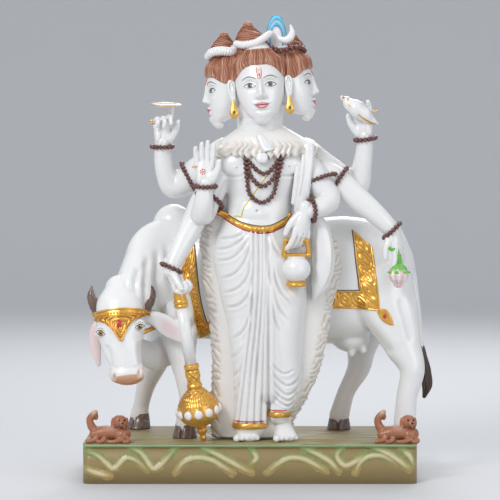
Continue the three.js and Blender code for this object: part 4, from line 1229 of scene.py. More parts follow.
# %% Topknots
def topknot(x, y, z, radius, height, lean=0.0):
    def coils(angle, t):
        rise = t * 4.6 + 0.9 * np.sin(angle + 0.6) + 0.14 * np.sin(angle * 3)
        return 1.5 * np.abs(np.sin(np.pi * rise)) + 0.5 * np.sin(rise * 2 * math.pi * 3 + 2 * np.sin(angle * 2)) - 1.2

    stations = [(x, y, z - 6, radius), (x, y, z + height * 0.25, radius), (x + lean * 0.4, y, z + height * 0.5, radius * 0.84),
                (x + lean * 0.8, y, z + height * 0.74, radius * 0.52), (x + lean, y, z + height * 0.86, radius * 0.30)]
    mesh = limb(stations, 110, 100, 10, level=True, relief=coils)
    co = places(mesh)
    angle = np.arctan2(co[:, 1] - y, co[:, 0] - x)
    turn = (co[:, 2] - z) / height * 4.6 + 0.9 * np.sin(angle + 0.6) + 0.14 * np.sin(angle * 3)
    tone = 0.46 + 0.28 * np.sin(turn * 2 * math.pi * 3 + np.sin(angle * 5)) + 0.22 * np.sin(turn * 2 * math.pi * 7)
    number(mesh, "strand", np.clip(tone, 0, 1))
    return mesh


finished("topknots", joined([topknot(3, -37, 560, 22, 38, -6), topknot(-35, -25, 549, 19, 37, 1),
                             topknot(55, -26, 556, 18.5, 26, 2)]), hair)

# %% [markdown]
# White ribbed rolls bind two topknots, and a string of seeds the third. Above the hair stand a
# small crescent and an arched jet of water, painted in blue bands.

# %% Rolls, seeds, crescent and arch
def white_roll(path, thick):
    def ribs(angle, t):
        return 0.35 * np.cos(t * math.pi * 2 * 17 + angle)

    stations = [(*place, thick * size) for place, size in path]
    return limb(stations, 28, 170, 6, across=BACKWARD, relief=ribs)


def binding_rolls():
    middle = [((-18, -52, 569), 0.9), ((-8, -60, 567), 1.0), ((8, -64, 570), 1.0), ((19, -59, 577), 0.95),
              ((26.5, -50, 583), 0.85)]
    left = [((-56, -36, 553), 0.75), ((-50, -45, 558), 0.95), ((-38, -51, 560), 1.05), ((-26, -49, 559), 1.0),
            ((-19, -42, 560), 0.8)]
    return joined([white_roll(middle, 4.9), white_roll(left, 5.6)])


def arch_of_water():
    mesh = limb([(34.5, -39, 566, 12.5, 4), (34.5, -39, 580, 13.5, 4.6), (34.5, -39, 592, 12.2, 4.4),
                 (34.5, -39, 600, 8.5, 3.8)], 90, 60, 10, level=True, round_by=8)
    co = places(mesh)
    ring = np.hypot((co[:, 0] - 34.5) / 13.8, np.maximum(co[:, 2] - 574, 0) / 34)
    co[:, 1] -= 0.9 * np.cos(ring * 22) * (co[:, 1] < -40) * (ring > 0.5)
    move(mesh, co)
    bands = [(0.0, (0.86, 0.86, 0.85)), (0.54, (0.02, 0.20, 0.42)), (0.60, (0.08, 0.50, 0.78)),
             (0.70, (0.42, 0.66, 0.74)), (0.80, (0.10, 0.36, 0.55)), (0.86, (0.16, 0.62, 0.86)),
             (0.95, (0.06, 0.46, 0.74))]
    for start, colour in bands:
        paint(mesh, ease(ring, start - 0.012, start + 0.012), colour)
    return mesh


CRESCENT = [(36, -54, 579.5, 1.4), (39.5, -55, 575.5, 3.4), (45.5, -55, 573.6, 4.8), (51.5, -55, 576.5, 5.2),
            (54.6, -54, 584, 4.0), (52.6, -53, 593.5, 1.0)]
crescent = limb(CRESCENT, 32, 60, 6, across=BACKWARD)
finished("binding_rolls", joined([binding_rolls(), crescent]), marble)
finished("arch_of_water", arch_of_water(), marble)
seed_row = spline([(29, -54, 563.5), (36, -60, 560), (46, -61, 560.5), (56, -57, 563.5), (65, -48, 565), (71, -36, 562)],
                  np.linspace(0, 1, 40))
finished("crown_seeds", seeds(bead_string(seed_row, 3.9)), seed)

# %% [markdown]
# A hand is built once, upright, with its palm towards -Y: a palm, a thumb with its pad, and four
# fingers that bend by a given angle at each joint. It is fused, and nails and finger grooves are
# cut in. Every one of the six hands is this one with other bends, turned to its own wrist.

# %% A hand
PALM = [(0, 0, -10, 8.8, 7.6), (0, 0, 0, 9.2, 7.6), (0, 0, 12, 11.4, 7.2), (0, 0, 27, 11.6, 5.2)]
FINGER_LENGTHS = (24, 27, 25, 20)
PHALANXES = (0.42, 0.32, 0.26)


def finger(x, z, length, bend, spread, radius=3.7):
    stations = [(x, 0, z - 6, radius), (x, 0, z, radius)]
    angle = 0
    for part, size in zip(PHALANXES, (0.98, 0.9, 0.74)):
        angle += math.radians(bend)
        px, py, pz = stations[-1][:3]
        step = length * part
        stations.append((px + spread * part, py - math.sin(angle) * step, pz + math.cos(angle) * step,
                         radius * size))
    return stations


def hand(bends, thumb=1, thumb_line=None):
    thumb_line = thumb_line or [(6, -2, 2, 6), (12, -5, 11, 5.2), (16, -8, 20, 4.3), (17.5, -10, 29, 3.3)]
    parts = [limb(PALM, 40, 26), lump((thumb * 7, -4.5, 8), (6, 5, 10)), lump((-thumb * 7, -3.5, 9), (4.5, 4.5, 10)),
             limb([(thumb * x, y, z, r) for x, y, z, r in thumb_line], 24, 20)]
    lines = [finger(thumb * (9.9 - i * 6.6), 28, FINGER_LENGTHS[i], bend, thumb * (1.5 - i) * 1.6)
             for i, bend in enumerate(bends)]
    parts += [limb(line, 24, 26, 5) for line in lines]
    mesh = fused(parts, 0.85, 2)
    co, normals = places(mesh), outward(mesh)
    push = np.zeros(len(co))
    for line in lines + [[(thumb * x, y, z, r) for x, y, z, r in thumb_line]]:
        tip, before = np.array(line[-1][:3]), np.array(line[-2][:3])
        ahead = unit(tip - before)
        back = unit(np.cross(ahead, np.cross((0, 1, 0), ahead)) if abs(ahead[2]) > 0.2 else np.array([0, 0, 1.0]))
        nail = tip + back * line[-1][3] * 0.8 + ahead * 1.2
        push -= 0.35 * np.exp(-np.sum((co - nail) ** 2, axis=1) / 2.6)
    for a, b in zip(lines, lines[1:]):
        middle = (np.array(a[1][:3]) + np.array(b[1][:3])) / 2
        gap = np.exp(-((co[:, 0] - middle[0]) ** 2) / 1.2 - ((co[:, 2] - 29) / 5) ** 2)
        push -= 0.7 * gap
    move(mesh, co + normals * push[:, None])
    return mesh


HANDS = [
    ("disc", [3, 52, 62, 66], 1, (-116, -26, 440), (0.04, 0, 1), (0.45, -1, 0)),
    ("blessing", [5, 5, 7, 10], 1, (-58, -86, 386), (-0.02, 0.05, 1), (0.15, -1, 0)),
    ("mace", [60, 62, 62, 60], 1, (-102, -75, 276), (0.35, -0.1, -1), (1, -0.3, 0)),
    ("conch", [34, 30, 26, 16], -1, (152, -27, 449), (-0.1, 0, 1), (-0.5, -1, 0)),
    ("pot", [16, 24, 26, 28], -1, (70, -82, 348), (-0.15, -0.05, -1), (-0.6, 1, 0.2)),
    ("lotus", [16, 16, 18, 20], -1, (188, -47, 322), (0.25, -0.05, -1), (-0.8, 0.6, 0)),
]
HAND_SKINS = {}


def all_hands():
    meshes = []
    for name, bends, thumb, place, up, facing in HANDS:
        mesh = placed(hand(bends, thumb), place, up, facing)
        HAND_SKINS[name] = skin_of(mesh)
        meshes.append(mesh)
    return joined(meshes)


finished("figure_hands", all_hands(), marble)

# %% [markdown]
# Rings are short turned bands. A small orange flower is painted on the blessing palm.

# %% Rings and palm mark
def ring(place, along, radius, high=1.6, thick=0.9):
    band = turned([(radius - 0.8, -high / 2), (radius + thick * 0.6, -high / 2), (radius + thick, 0),
                   (radius + thick * 0.6, high / 2), (radius - 0.8, high / 2)], 28)
    return placed(band, place, along, (0.1, -1, 0.05))


def palm_flower():
    x, z = -60.5, 402.5
    parts = [dot(HAND_SKINS["blessing"], x, z, 1.1, 1.1, lift=0.25)]
    for i in range(7):
        angle = i * math.tau / 7
        parts.append(dot(HAND_SKINS["blessing"], x + 3.1 * math.cos(angle), z + 3.1 * math.sin(angle), 0.95, 0.95,
                         lift=0.25))
    return joined(parts)


finished("finger_rings", joined([ring((-127.5, -31, 468), (0.35, -0.5, 0.8), 3.5), ring((-70.6, -87, 409), (-0.1, 0, 1), 3.6),
                                 ring((163, -34, 482), (-0.1, -0.2, 1), 3.4), ring((66.5, -84, 323), (-0.15, 0, -1), 3.7)]), gold)
finished("palm_flower", palm_flower(), vermilion)

# %% [markdown]
# The disc is a turned plate with a gilded rim and a pinkish white edge, lying nearly flat about the
# raised finger. The shell is a spindle whose surface is wound with a spiral, gilded at its lip.

# %% Disc and shell
def disc():
    plate = turned([(0, -1.1), (12, -1.5), (17.4, -2.0), (19.2, -1.4), (19.8, 0), (19.2, 1.4), (17.4, 2.0), (12, 1.5),
                    (0, 1.1)], 72)
    rim = turned([(18.6, -0.8), (20.4, -0.75), (20.8, 0), (20.4, 0.75), (18.6, 0.8)], 72)
    for mesh in (plate, rim):
        placed(mesh, (-110, -33, 491), (0.03, -0.14, 1), (0, -1, 0))
    return plate, rim


def shell():
    def whorls(angle, t):
        return 0.9 * np.sin(2 * math.pi * (t * 4.2) - angle) * (1 - t) ** 0.7

    body_line = [(121, -36, 501, 2.2), (127, -38, 495, 6.5), (138, -41, 486, 10.4), (150, -40, 477, 9.2),
                 (160, -37, 470, 5.0), (167, -35, 466, 1.8)]
    mesh = limb(body_line, 60, 90, 8, across=BACKWARD, relief=whorls)
    skin = skin_of(mesh)
    lip = stroke(skin, [(141, 478), (148, 472.5), (157, 467.5), (166, 465.5)], 2.2, 30, 0.5, 3, lift=0.3, y_guess=-45)
    band = stroke(skin, [(128.5, 500), (127.5, 494), (130.5, 488)], 1.8, 20, 0.6, 3, lift=0.3, y_guess=-45)
    tip = dot(skin, 122.5, 500, 1.8, 1.8, lift=0.3, y_guess=-40)
    return mesh, joined([lip, band]), tip


disc_plate, disc_rim = disc()
conch_body, conch_gold, conch_tip = shell()
finished("disc_plate", disc_plate, pearl)
finished("disc_rim", disc_rim, gold)
finished("conch_shell", conch_body, marble)
finished("conch_trim", conch_gold, gold)
finished("conch_tip", conch_tip, vermilion)

# %% [markdown]
# The mace stands on its head. It is turned, then its swelling is cut with rows of beads and
# scrolls, and twelve oval stones of white are set round it. Its shaft is left white.

# %% Mace
MACE_FOOT = (-60.5, -60, 50.5)
MACE_AXIS = (-0.158, -0.12, 1)
MACE_HEAD = [(0, 0), (2.6, 0.8), (4.4, 5), (3.4, 9), (6.6, 13), (7.2, 16), (5.4, 19), (9, 21), (15, 24), (20, 28),
             (25, 33), (27.8, 39), (28, 45), (26, 51), (22.6, 57), (18, 63), (13.5, 68), (10.5, 71), (9.2, 72),
             (10.6, 76), (8.6, 79), (8.4, 84), (9.6, 90), (9.4, 95), (8.4, 97), (10, 99), (10, 103), (8.2, 104.5), (0, 105)]
MACE_SHAFT = [(0, 102), (7.6, 102.5), (7.7, 140), (8.0, 181), (0, 182)]
MACE_POMMEL = [(0, 180), (9, 180.5), (9.6, 183.5), (8.4, 185), (9.6, 187), (9.2, 189.5), (8.0, 191), (8.2, 196), (6.6, 204),
               (3.6, 212), (0, 216)]


def mace_relief(mesh):
    co = places(mesh)
    angle = np.arctan2(co[:, 1], co[:, 0])
    h = co[:, 2]
    radius = np.hypot(co[:, 0], co[:, 1])
    push = np.zeros(len(co))
    for level, count, size, high in [(25, 40, 1.0, 1.4), (29.5, 48, 1.0, 1.3), (53, 48, 1.1, 1.5), (57, 44, 1.1, 1.4),
                                     (61.5, 36, 1.2, 1.6)]:
        bead = np.abs(np.sin(angle * count / 2)) ** 0.7 * size - 0.4
        push += np.exp(-(((h - level) / high) ** 2)) * bead
    leaf = np.cos(angle * 10 + 1.2 * np.sin(h * 0.9)) * np.cos((h - 66) * 0.8)
    push += 0.9 * leaf * np.exp(-(((h - 67) / 3.5) ** 4))
    scroll = np.sin(angle * 5) * np.cos((h - 87) * 0.55) + 0.5 * np.cos(angle * 10 + h)
    push += 0.7 * scroll * np.exp(-(((h - 87) / 7) ** 4))
    frame = np.abs(np.cos(angle * 6)) ** 10
    push += 0.8 * frame * np.exp(-(((h - 42) / 7) ** 6))
    grow = 1 + push / np.maximum(radius, 3)
    co[:, 0] *= grow
    co[:, 1] *= grow
    move(mesh, co)
    return mesh


def mace():
    head = mace_relief(fine_turned(MACE_HEAD, 180, 0.7))
    pommel = fine_turned(MACE_POMMEL, 48, 0.8)
    shaft = turned(MACE_SHAFT, 48)
    stones = []
    for i in range(12):
        angle = i * math.tau / 12
        stones.append(lump((27.3 * math.cos(angle), 27.3 * math.sin(angle), 42), (3.2, 3.2, 5.9), 20, 14))
        co = places(stones[-1])
        centre = np.array([27.3 * math.cos(angle), 27.3 * math.sin(angle), 42])
        across = np.array([-math.sin(angle), math.cos(angle), 0])
        out = co - centre
        co += np.outer(out @ across, across) * 0.75
        move(stones[-1], co)
    stones = joined(stones)
    red = joined([lump((22.4 * math.cos(a), 22.4 * math.sin(a), 57.2), (0.9, 0.9, 0.9), 10, 7)
                  for a in np.arange(18) * math.tau / 18])
    for mesh in (head, pommel, shaft, stones, red):
        placed(mesh, MACE_FOOT, MACE_AXIS, (0, -1, 0))
    return joined([head, pommel]), shaft, stones, red


mace_gold, mace_shaft, mace_stones, mace_reds = mace()
finished("mace_gilding", mace_gold, gold)
finished("mace_shaft", mace_shaft, marble)
finished("mace_stones", mace_stones, pearl)
finished("mace_small_stones", mace_reds, crimson)

# %% [markdown]
# The water pot is a turned globe, with a gilded foot and a frame handle that narrows upwards. The
# lotus hangs from a green stem: its petals are ribs on a small cup, under a crown of sepals.

# %% Water pot and lotus
POT = (60, -80, 254)
POT_BODY = [(0, 6), (9, 7), (13.5, 11), (17.2, 16), (18.6, 21), (18.0, 27), (15.2, 33), (11, 37), (12.5, 39), (0, 40)]
POT_FOOT = [(0, 0), (12.2, 0), (13.8, 1.5), (13.6, 4), (11, 6.4), (9, 8), (0, 8)]


def pot_handle():
    """Four bars of a frame, each a rounded box drawn between its corners"""
    x, y, z = POT
    corners = [(-16.5, 40.5), (16.5, 40.5), (13.6, 60), (-13.6, 60)]
    bars = []
    for (x0, z0), (x1, z1) in zip(corners, corners[1:] + corners[:1]):
        stations = [(x + x0, y, z + z0, 3.4, 3.0), (x + x1, y, z + z1, 3.4, 3.0)]
        bars.append(limb(stations, 16, 12, 4, across=BACKWARD, relief=lambda angle, t: 0.25 * np.cos(angle * 4)))
    return fused(bars, 0.8, 3)


def lotus():
    def petals(angle, t):
        return 1.1 * np.abs(np.cos(angle * 4 + (t > 0.5) * 0.4)) - 0.6 + 0.35 * np.cos(angle * 16)

    flower = limb([(194, -54, 257, 6, 6), (194, -54, 262, 11, 11), (194, -54, 268, 12.8, 12.8), (194, -54, 272, 11.5, 11.5)],
                  96, 40, 8, level=True, relief=petals)
    co = places(flower)
    around = np.arctan2(co[:, 1] + 54, co[:, 0] - 194)
    edge = np.abs(np.cos(around * 4))
    paint(flower, 0.75 * (1 - edge) + 0.25 * (co[:, 2] < 258), (0.80, 0.30, 0.34))
    paint(flower, ease(co[:, 2], 273, 275), (0.16, 0.50, 0.08))

    def pointed(angle, t):
        return 2.2 * np.cos(angle * 7) * (1 - t) + 0.3 * np.cos(angle * 14)

    sepals = limb([(194, -54, 271, 14, 13), (194, -54, 276, 7, 6.5), (194, -54, 282, 4, 4), (193, -53, 296, 3.4, 3.4),
                   (191, -53, 306, 3, 3)], 70, 40, 4, level=True, relief=pointed, round_by=1.5)
    stalk = limb([(181, -58, 303, 2.2), (186, -58, 301, 2.4), (190, -54, 303, 2.2)], 20, 12, 4, across=BACKWARD)
    return flower, joined([sepals, stalk])


flower, greens = lotus()
finished("pot_globe", placed(fine_turned(POT_BODY, 64, 1.5), POT), marble)
finished("pot_gilding", joined([placed(fine_turned(POT_FOOT, 64, 1.0), POT), pot_handle()]), gold)
finished("lotus_flower", flower, marble)
finished("lotus_leaves", greens, enamel("leaf_green", (0.16, 0.52, 0.06)))

# %% [markdown]
# The cow stands across the back and lowers its head to the viewer's left. Trunk, hump, neck and
# four legs are fused like the figure. Then the throat's hanging folds, the shoulder and thigh
# muscles, the knees and the belly line are pushed in and out, mostly on the side towards us.

# %% Cow's body
COW_Y = 25
TRUNK = [(-104, 19, 262, 58, 36), (-76, 25, 260, 80, 44), (-30, 25, 258, 82, 50), (30, 25, 256, 82, 51),
         (80, 25, 256, 84, 51), (130, 25, 258, 86, 49), (160, 25, 260, 80, 47), (182, 25, 258, 66, 41)]
NECK = [(-88, 25, 268, 80, 40), (-116, 15, 266, 72, 36), (-138, -3, 252, 58, 32), (-154, -34, 236, 40, 28)]
DEWLAP = [(-150, -20, 170, 14, 8), (-128, -2, 158, 20, 9), (-100, 16, 172, 24, 10)]
LEGS = [
    [(-96, 4, 215, 34, 24), (-92, -6, 165, 20, 18), (-86, -14, 128, 13, 13), (-82, -20, 98, 11.5, 12),
     (-86, -23, 68, 13, 12)],
    [(-112, 52, 205, 28, 24), (-126, 64, 148, 17, 16), (-142, 74, 112, 13, 13), (-149, 78, 84, 11, 11),
     (-152, 78, 68, 13, 12)],
    [(170, -2, 258, 46, 26), (188, -8, 212, 38, 26), (203, -14, 172, 25, 20), (215, -18, 141, 17, 16),
     (208, -20, 104, 14, 13), (205, -22, 68, 15, 13)],
    [(158, 54, 200, 34, 26), (152, 64, 160, 20, 18), (149, 66, 136, 16, 15), (132, 68, 102, 12, 12),
     (122, 70, 68, 14, 13)],
]
NECK_FOLDS = [
    [(-112, 312), (-108, 268), (-100, 225), (-96, 195)], [(-122, 306), (-124, 262), (-120, 225), (-112, 200)],
    [(-134, 296), (-138, 262), (-136, 232), (-128, 212)], [(-146, 280), (-150, 256), (-150, 238)],
    [(-90, 318), (-86, 290), (-84, 262)],
]


def cow_body():
    parts = [limb(TRUNK, 56, 60, 14, across=UPWARD), limb(NECK, 48, 30, 10, across=UPWARD),
             lump((-103, 25, 330), (28, 22, 30), 32, 22), limb(DEWLAP, 24, 20, across=UPWARD),
             lump((136, 25, 178), (26, 22, 18), 32, 20), lump((136, 13, 161), (5.4, 5.4, 7.5), 20, 14),
             lump((153, 15, 165), (5.4, 5.4, 7.5), 20, 14), lump((140, 40, 162), (5, 5, 7), 20, 14)]
    parts += [limb(leg, 36, 40) for leg in LEGS]
    mesh = fused(parts, 2.1, 7)
    co, normals = places(mesh), outward(mesh)
    near = ease(-co[:, 1], -10, 15)
    push = np.zeros(len(co))
    for line in NECK_FOLDS:
        push += crease(co, line, 5.5, 2.6)
    push += crease(co, [(-100, 214), (-112, 190), (-126, 176)], 5, 1.6)
    push += crease(co, [(-64, 210), (-78, 196), (-86, 172), (-84, 150)], 7, 2.2)
    push += crease(co, [(140, 236), (150, 205), (172, 178), (190, 160)], 9, 1.8)
    push += crease(co, [(196, 240), (206, 205), (214, 175)], 7, 1.4)
    push += brush(co, 176, 240, 26, 40, 3.0) + brush(co, -92, 224, 20, 32, 2.4)
    push += brush(co, -85, 128, 9, 12, 1.4) + brush(co, 216, 141, 8, 10, 1.8)
    move(mesh, co + normals * (push * near)[:, None])
    co = places(mesh)
    # painted shade: the far legs below the belly, and more faintly the lower legs in the middle, are tinted a warm
    # grey-pink
    paint(mesh, 0.30 * ease(-co[:, 2], -190, -110) * (co[:, 1] > 20), (0.78, 0.62, 0.60))
    paint(mesh, 0.20 * ease(-co[:, 2], -176, -150) * (np.abs(co[:, 0]) < 120), (0.75, 0.66, 0.62))
    return mesh


cow = cow_body()
COW_SKIN = skin_of(cow)
finished("cow_body", cow, marble)
print("cow points:", len(cow.vertices))

# %% [markdown]
# A hoof is two horny claws side by side with a cleft between them, dark brown and streaked with
# grey. The tail is a thin tube that ends in a tassel of brown hair.

# %% Hooves and tail
def hoof(x, y, turn):
    stations = [(0, -1, 1.5, 16.5, 15.5), (0, 0, 9, 15, 14), (0, 1, 17, 13.4, 12.6), (0, 1, 21, 12.8, 12)]
    mesh = limb(stations, 72, 30, 5, level=True, round_by=1.5)
    co = places(mesh)
    cleft = np.exp(-((co[:, 0] / 1.6) ** 2)) * ease(-co[:, 1], 2, 8) * ease(19 - co[:, 2], 0, 6)
    co[:, 1] += 5 * cleft
    toe = ease(-co[:, 1], 4, 14) * ease(14 - co[:, 2], 0, 14)
    co[:, 1] -= 2.5 * toe
    streak = np.sin(co[:, 0] * 1.3 + 2 * np.sin(co[:, 2] * 0.5)) * np.sin(co[:, 2] * 0.6 + co[:, 0] * 0.3)
    move(mesh, co)
    paint(mesh, 0.8 * ease(streak, 0.35, 0.8) * ease(co[:, 2], 3, 9), (0.30, 0.26, 0.25))
    mesh.transform(Matrix.Translation((x, y, BASE_TOP - 0.5)) @ Matrix.Rotation(math.radians(turn), 4, "Z"))
    return mesh


def tail_tassel():
    def hairs(angle, t):
        return 0.5 * np.sin(angle * 9 + t * 5) + 0.25 * np.sin(angle * 21 - t * 9)

    mesh = limb([(228.5, 8, 168, 4.6), (231.5, 7, 152, 6.4), (235, 6, 134, 7.6), (237, 6, 117, 6.4), (233, 6, 102, 2)],
                60, 60, 6, across=BACKWARD, relief=hairs)
    co = places(mesh)
    number(mesh, "strand", 0.35 + 0.3 * np.sin(co[:, 1] * 2.5 + co[:, 0] * 2 + co[:, 2] * 0.2))
    return mesh


hooves = joined([hoof(-86, -23, -18), hoof(-152, 78, -35), hoof(205, -22, 20), hoof(122, 70, -10)])
tail = limb([(190, 22, 322, 14), (204, 19, 298, 11), (214, 16, 270, 8), (221, 12, 236, 5.6), (226, 10, 195, 4.8),
             (228.5, 8, 166, 4.6)], 32, 60, across=BACKWARD)
# its third colour is the painted shade of its hollows
tassel_hair = finish_of("tassel_brown", (0.09, 0.05, 0.035), (0.05, 0.025, 0.018), (0.01, 0.006, 0.004), cloud=0.5,
                        cloud_scale=120.0, shade_amount=0.6, roughness=0.4, coat=0.2, bump=0.1,
                        strands=((0.03, 0.015, 0.01), (0.24, 0.16, 0.12)))
finished("cow_hooves", hooves, horn)
finished("cow_tail", tail, marble)
finished("tail_tassel", tail_tassel(), tassel_hair)

# %% [markdown]
# The cow's head is a long wedge seen from the front: a broad poll, eye ridges, hollow cheeks and a
# rounded muzzle. It is fused with its ears, and the eyelids, nostrils and lips are cut in after.

# %% Cow's head
COW_FRONT = [(-170, -44, 250, 20, 18), (-170, -54, 228, 31, 23), (-169, -63, 198, 31, 24), (-164, -72, 170, 24.5, 20),
             (-160, -79, 152, 21.5, 16), (-159, -82, 138, 22, 12)]
EAR_LEFT = [(-190, -46, 212, 8, 5), (-202, -48, 194, 8, 4.4), (-202, -50, 170, 7, 3.6), (-198, -51, 150, 3, 2.4)]
EAR_RIGHT = [(-142, -44, 212, 7, 5), (-124, -42, 209, 11, 4.6), (-106, -42, 198, 13, 4), (-92, -43, 185, 8, 3),
             (-87, -44, 177, 2, 1.5)]
COW_EYES = [(-193.5, 194, -14), (-142.9, 202, 12)]


def cow_head():
    parts = [limb(COW_FRONT, 72, 60, 12), lump((-159, -84, 141), (23.5, 14, 14), 40, 26),
             limb(EAR_LEFT, 32, 30), limb(EAR_RIGHT, 32, 30, across=UPWARD)]
    for x, z, _ in COW_EYES:
        parts.append(lump((x * 0.96 - 6.8, -72, z + 1), (9, 9, 9), 24, 16))
    mesh = fused(parts, 1.1, 4)
    co, normals = places(mesh), outward(mesh)
    front = ease(-co[:, 1], 48, 60)
    push = np.zeros(len(co))
    for x, z, _ in COW_EYES:
        push += brush(co, x, z, 6.5, 4.2, 1.5)
        for i in range(3):
            push += crease(co, [(x - 8, z + 2 + i * 2.2), (x, z + 6.5 + i * 2.4), (x + 8, z + 3 + i * 2.2)], 1.2, 0.55, 0.3)
        push += crease(co, [(x - 8, z - 3), (x, z - 6.2), (x + 8, z - 2)], 1.3, 0.6, 0.3)
    push += crease(co, [(-187, 180), (-181, 166), (-180, 150)], 5, 1.6)
    push += crease(co, [(-141, 186), (-142, 168), (-139, 152)], 5, 1.6)
    push += brush(co, -168, 196, 9, 26, 1.6)
    for x, z, lean in [(-176.5, 139, 1), (-141.5, 144, -1)]:
        push += brush(co, x, z, 3.4, 6.4, 2.2) - brush(co, x + lean * 1.6, z, 1.7, 3.8, 3.8)
    push += crease(co, [(-181, 132), (-172, 128), (-159, 127), (-146, 131), (-137, 138)], 1.8, 0.8)
    move(mesh, co + normals * (push * front)[:, None])
    co = places(mesh)
    below = 1 - ease(co[:, 2], np.interp(co[:, 0], (-182, -174, -159, -145, -136), (133, 138.5, 141, 142, 140)) - 0.8,
                     np.interp(co[:, 0], (-182, -174, -159, -145, -136), (133, 138.5, 141, 142, 140)) + 0.8)
    nose = below * (co[:, 1] < -66)
    paint(mesh, 0.92 * nose, (0.52, 0.22, 0.09))
    paint(mesh, 0.55 * nose * ease(co[:, 2], 133, 141), (0.70, 0.42, 0.24))
    for x, z, lean in [(-177.5, 138.5, 1), (-140.5, 143.5, -1)]:
        spot = np.exp(-(((co[:, 0] - x) / 4.4) ** 4) - ((co[:, 2] - z) / 7) ** 4)
        paint(mesh, spot * (co[:, 1] < -66), (0.78, 0.68, 0.60))
        hole = np.exp(-(((co[:, 0] - x - lean * 2.4) / 1.5) ** 2) - ((co[:, 2] - z) / 4) ** 2)
        paint(mesh, 0.8 * hole * (co[:, 1] < -66), (0.42, 0.22, 0.14))
    ear = np.exp(-(((co[:, 0] + 105) / 13.5) ** 4)) * np.exp(-(((co[:, 2] - 197 + (co[:, 0] + 105) * 0.55) / 8.5) ** 4))
    paint(mesh, 0.75 * ear * (co[:, 1] < -42), (0.76, 0.56, 0.58))
    left_ear = ease(-co[:, 0], 194, 199) * ease(210 - co[:, 2], 0, 12)
    paint(mesh, 0.6 * left_ear * (co[:, 1] > -62), (0.80, 0.52, 0.50))
    return mesh


head_of_cow = cow_head()
HEAD_SKIN = skin_of(head_of_cow)
finished("cow_head", head_of_cow, marble)

# %% [markdown]
# Each eye is a low almond of amber with a dark pupil, a small white dot as a painted highlight
# and a fine dark rim. The horns are dark, curve up and inwards, and stand in gilded collars.

# %% Cow's eyes and horns
def cow_eye(x, z, tilt):
    slope = math.tan(math.radians(tilt))
    rim_up = [(x - 6.2, z - 6.2 * slope), (x, z + 3.6), (x + 6.2, z + 6.2 * slope)]
    rim_low = [(x - 6.2, z - 6.2 * slope), (x, z - 3.2), (x + 6.2, z + 6.2 * slope)]
    t = np.linspace(0, 1, 15)
    up, low = spline(rim_up, t), spline(rim_low, t)
    ball = strip(HEAD_SKIN, low, up, 4, 16, 0.2)
    iris = dot(HEAD_SKIN, x + 0.3, z + 0.1, 3.3, 3.0, lift=0.34)
    pupil = dot(HEAD_SKIN, x + 0.3, z + 0.2, 1.7, 1.7, lift=0.46)
    # a small white dot beside the pupil: a painted highlight
    cow_eye_highlight = dot(HEAD_SKIN, x + 1.1, z + 1.1, 0.5, 0.5, lift=0.56)
    lines = [stroke(HEAD_SKIN, up, 1.1, 18, 0.5, lift=0.4), stroke(HEAD_SKIN, low, 0.8, 18, 0.5, lift=0.4)]
    fold = stroke(HEAD_SKIN, up + (0, 2.6), 0.6, 18, 0.3, lift=0.15)
    return joined([ball, cow_eye_highlight]), iris, joined([pupil] + lines), fold


HORNS = [[(-195, -46, 214, 8.6), (-203, -47, 228, 8.2), (-208, -48, 240, 5.6), (-207, -49, 252, 1.4)],
         [(-144, -44, 218, 8.8), (-134, -45, 231, 8.4), (-129, -46, 244, 5.8), (-132, -47, 257, 1.4)]]


def horn_shape(line):
    def rough(angle, t):
        return 0.25 * np.sin(t * 40 + angle) * (1 - t)

    mesh = limb(line, 40, 50, 5, across=BACKWARD, relief=rough)
    co = places(mesh)
    tone = np.sin(co[:, 0] * 0.9 + co[:, 2] * 0.35 + 1.4 * np.sin(co[:, 2] * 0.5))
    paint(mesh, 0.5 * ease(tone, 0.5, 1.0) * ease(co[:, 2], 224, 240), (0.36, 0.24, 0.18))
    return mesh


def horn_collar(line, at):
    centre = np.array(line[0][:3]) * (1 - at) + np.array(line[1][:3]) * at
    ahead = np.array(line[1][:3]) - np.array(line[0][:3])
    rows = [(7.5, -3.6), (10.4, -3.2), (10.9, -2.0), (9.6, -1.0), (10.9, 0.4), (10.9, 1.8), (9.6, 2.8), (7.5, 3.2)]
    mesh = fine_turned(rows, 64, 0.5)
    co = places(mesh)
    angle = np.arctan2(co[:, 1], co[:, 0])
    grow = 1 + 0.035 * np.abs(np.sin(angle * 14)) * np.exp(-((co[:, 2] - 1) ** 2) / 3)
    co[:, :2] *= grow[:, None]
    move(mesh, co)
    return placed(mesh, tuple(centre), tuple(ahead), (0, -1, 0))


eye_balls_and_highlights, eye_irises, eye_darks, eye_folds = zip(*(cow_eye(*eye) for eye in COW_EYES))
# the eyeballs share their white with the painted highlights
finished("cow_eye_balls_and_highlights", joined(list(eye_balls_and_highlights)), pearl)
finished("cow_irises", joined(list(eye_irises)), amber)
finished("cow_eye_lines", joined(list(eye_darks)), line_black)
finished("cow_lid_lines", joined(list(eye_folds)), line_grey)
finished("cow_horns", joined([horn_shape(line) for line in HORNS]), horn)

# %% [markdown]
# The harness is gilded relief: a scrolled plate with a row of beads over the forehead, a twisted
# rope behind the horns, a cheek band, and the borders of a saddle cloth. The relief on the
# saddle borders is one pattern, a row of spirals that turn by turns to the left and to the right.

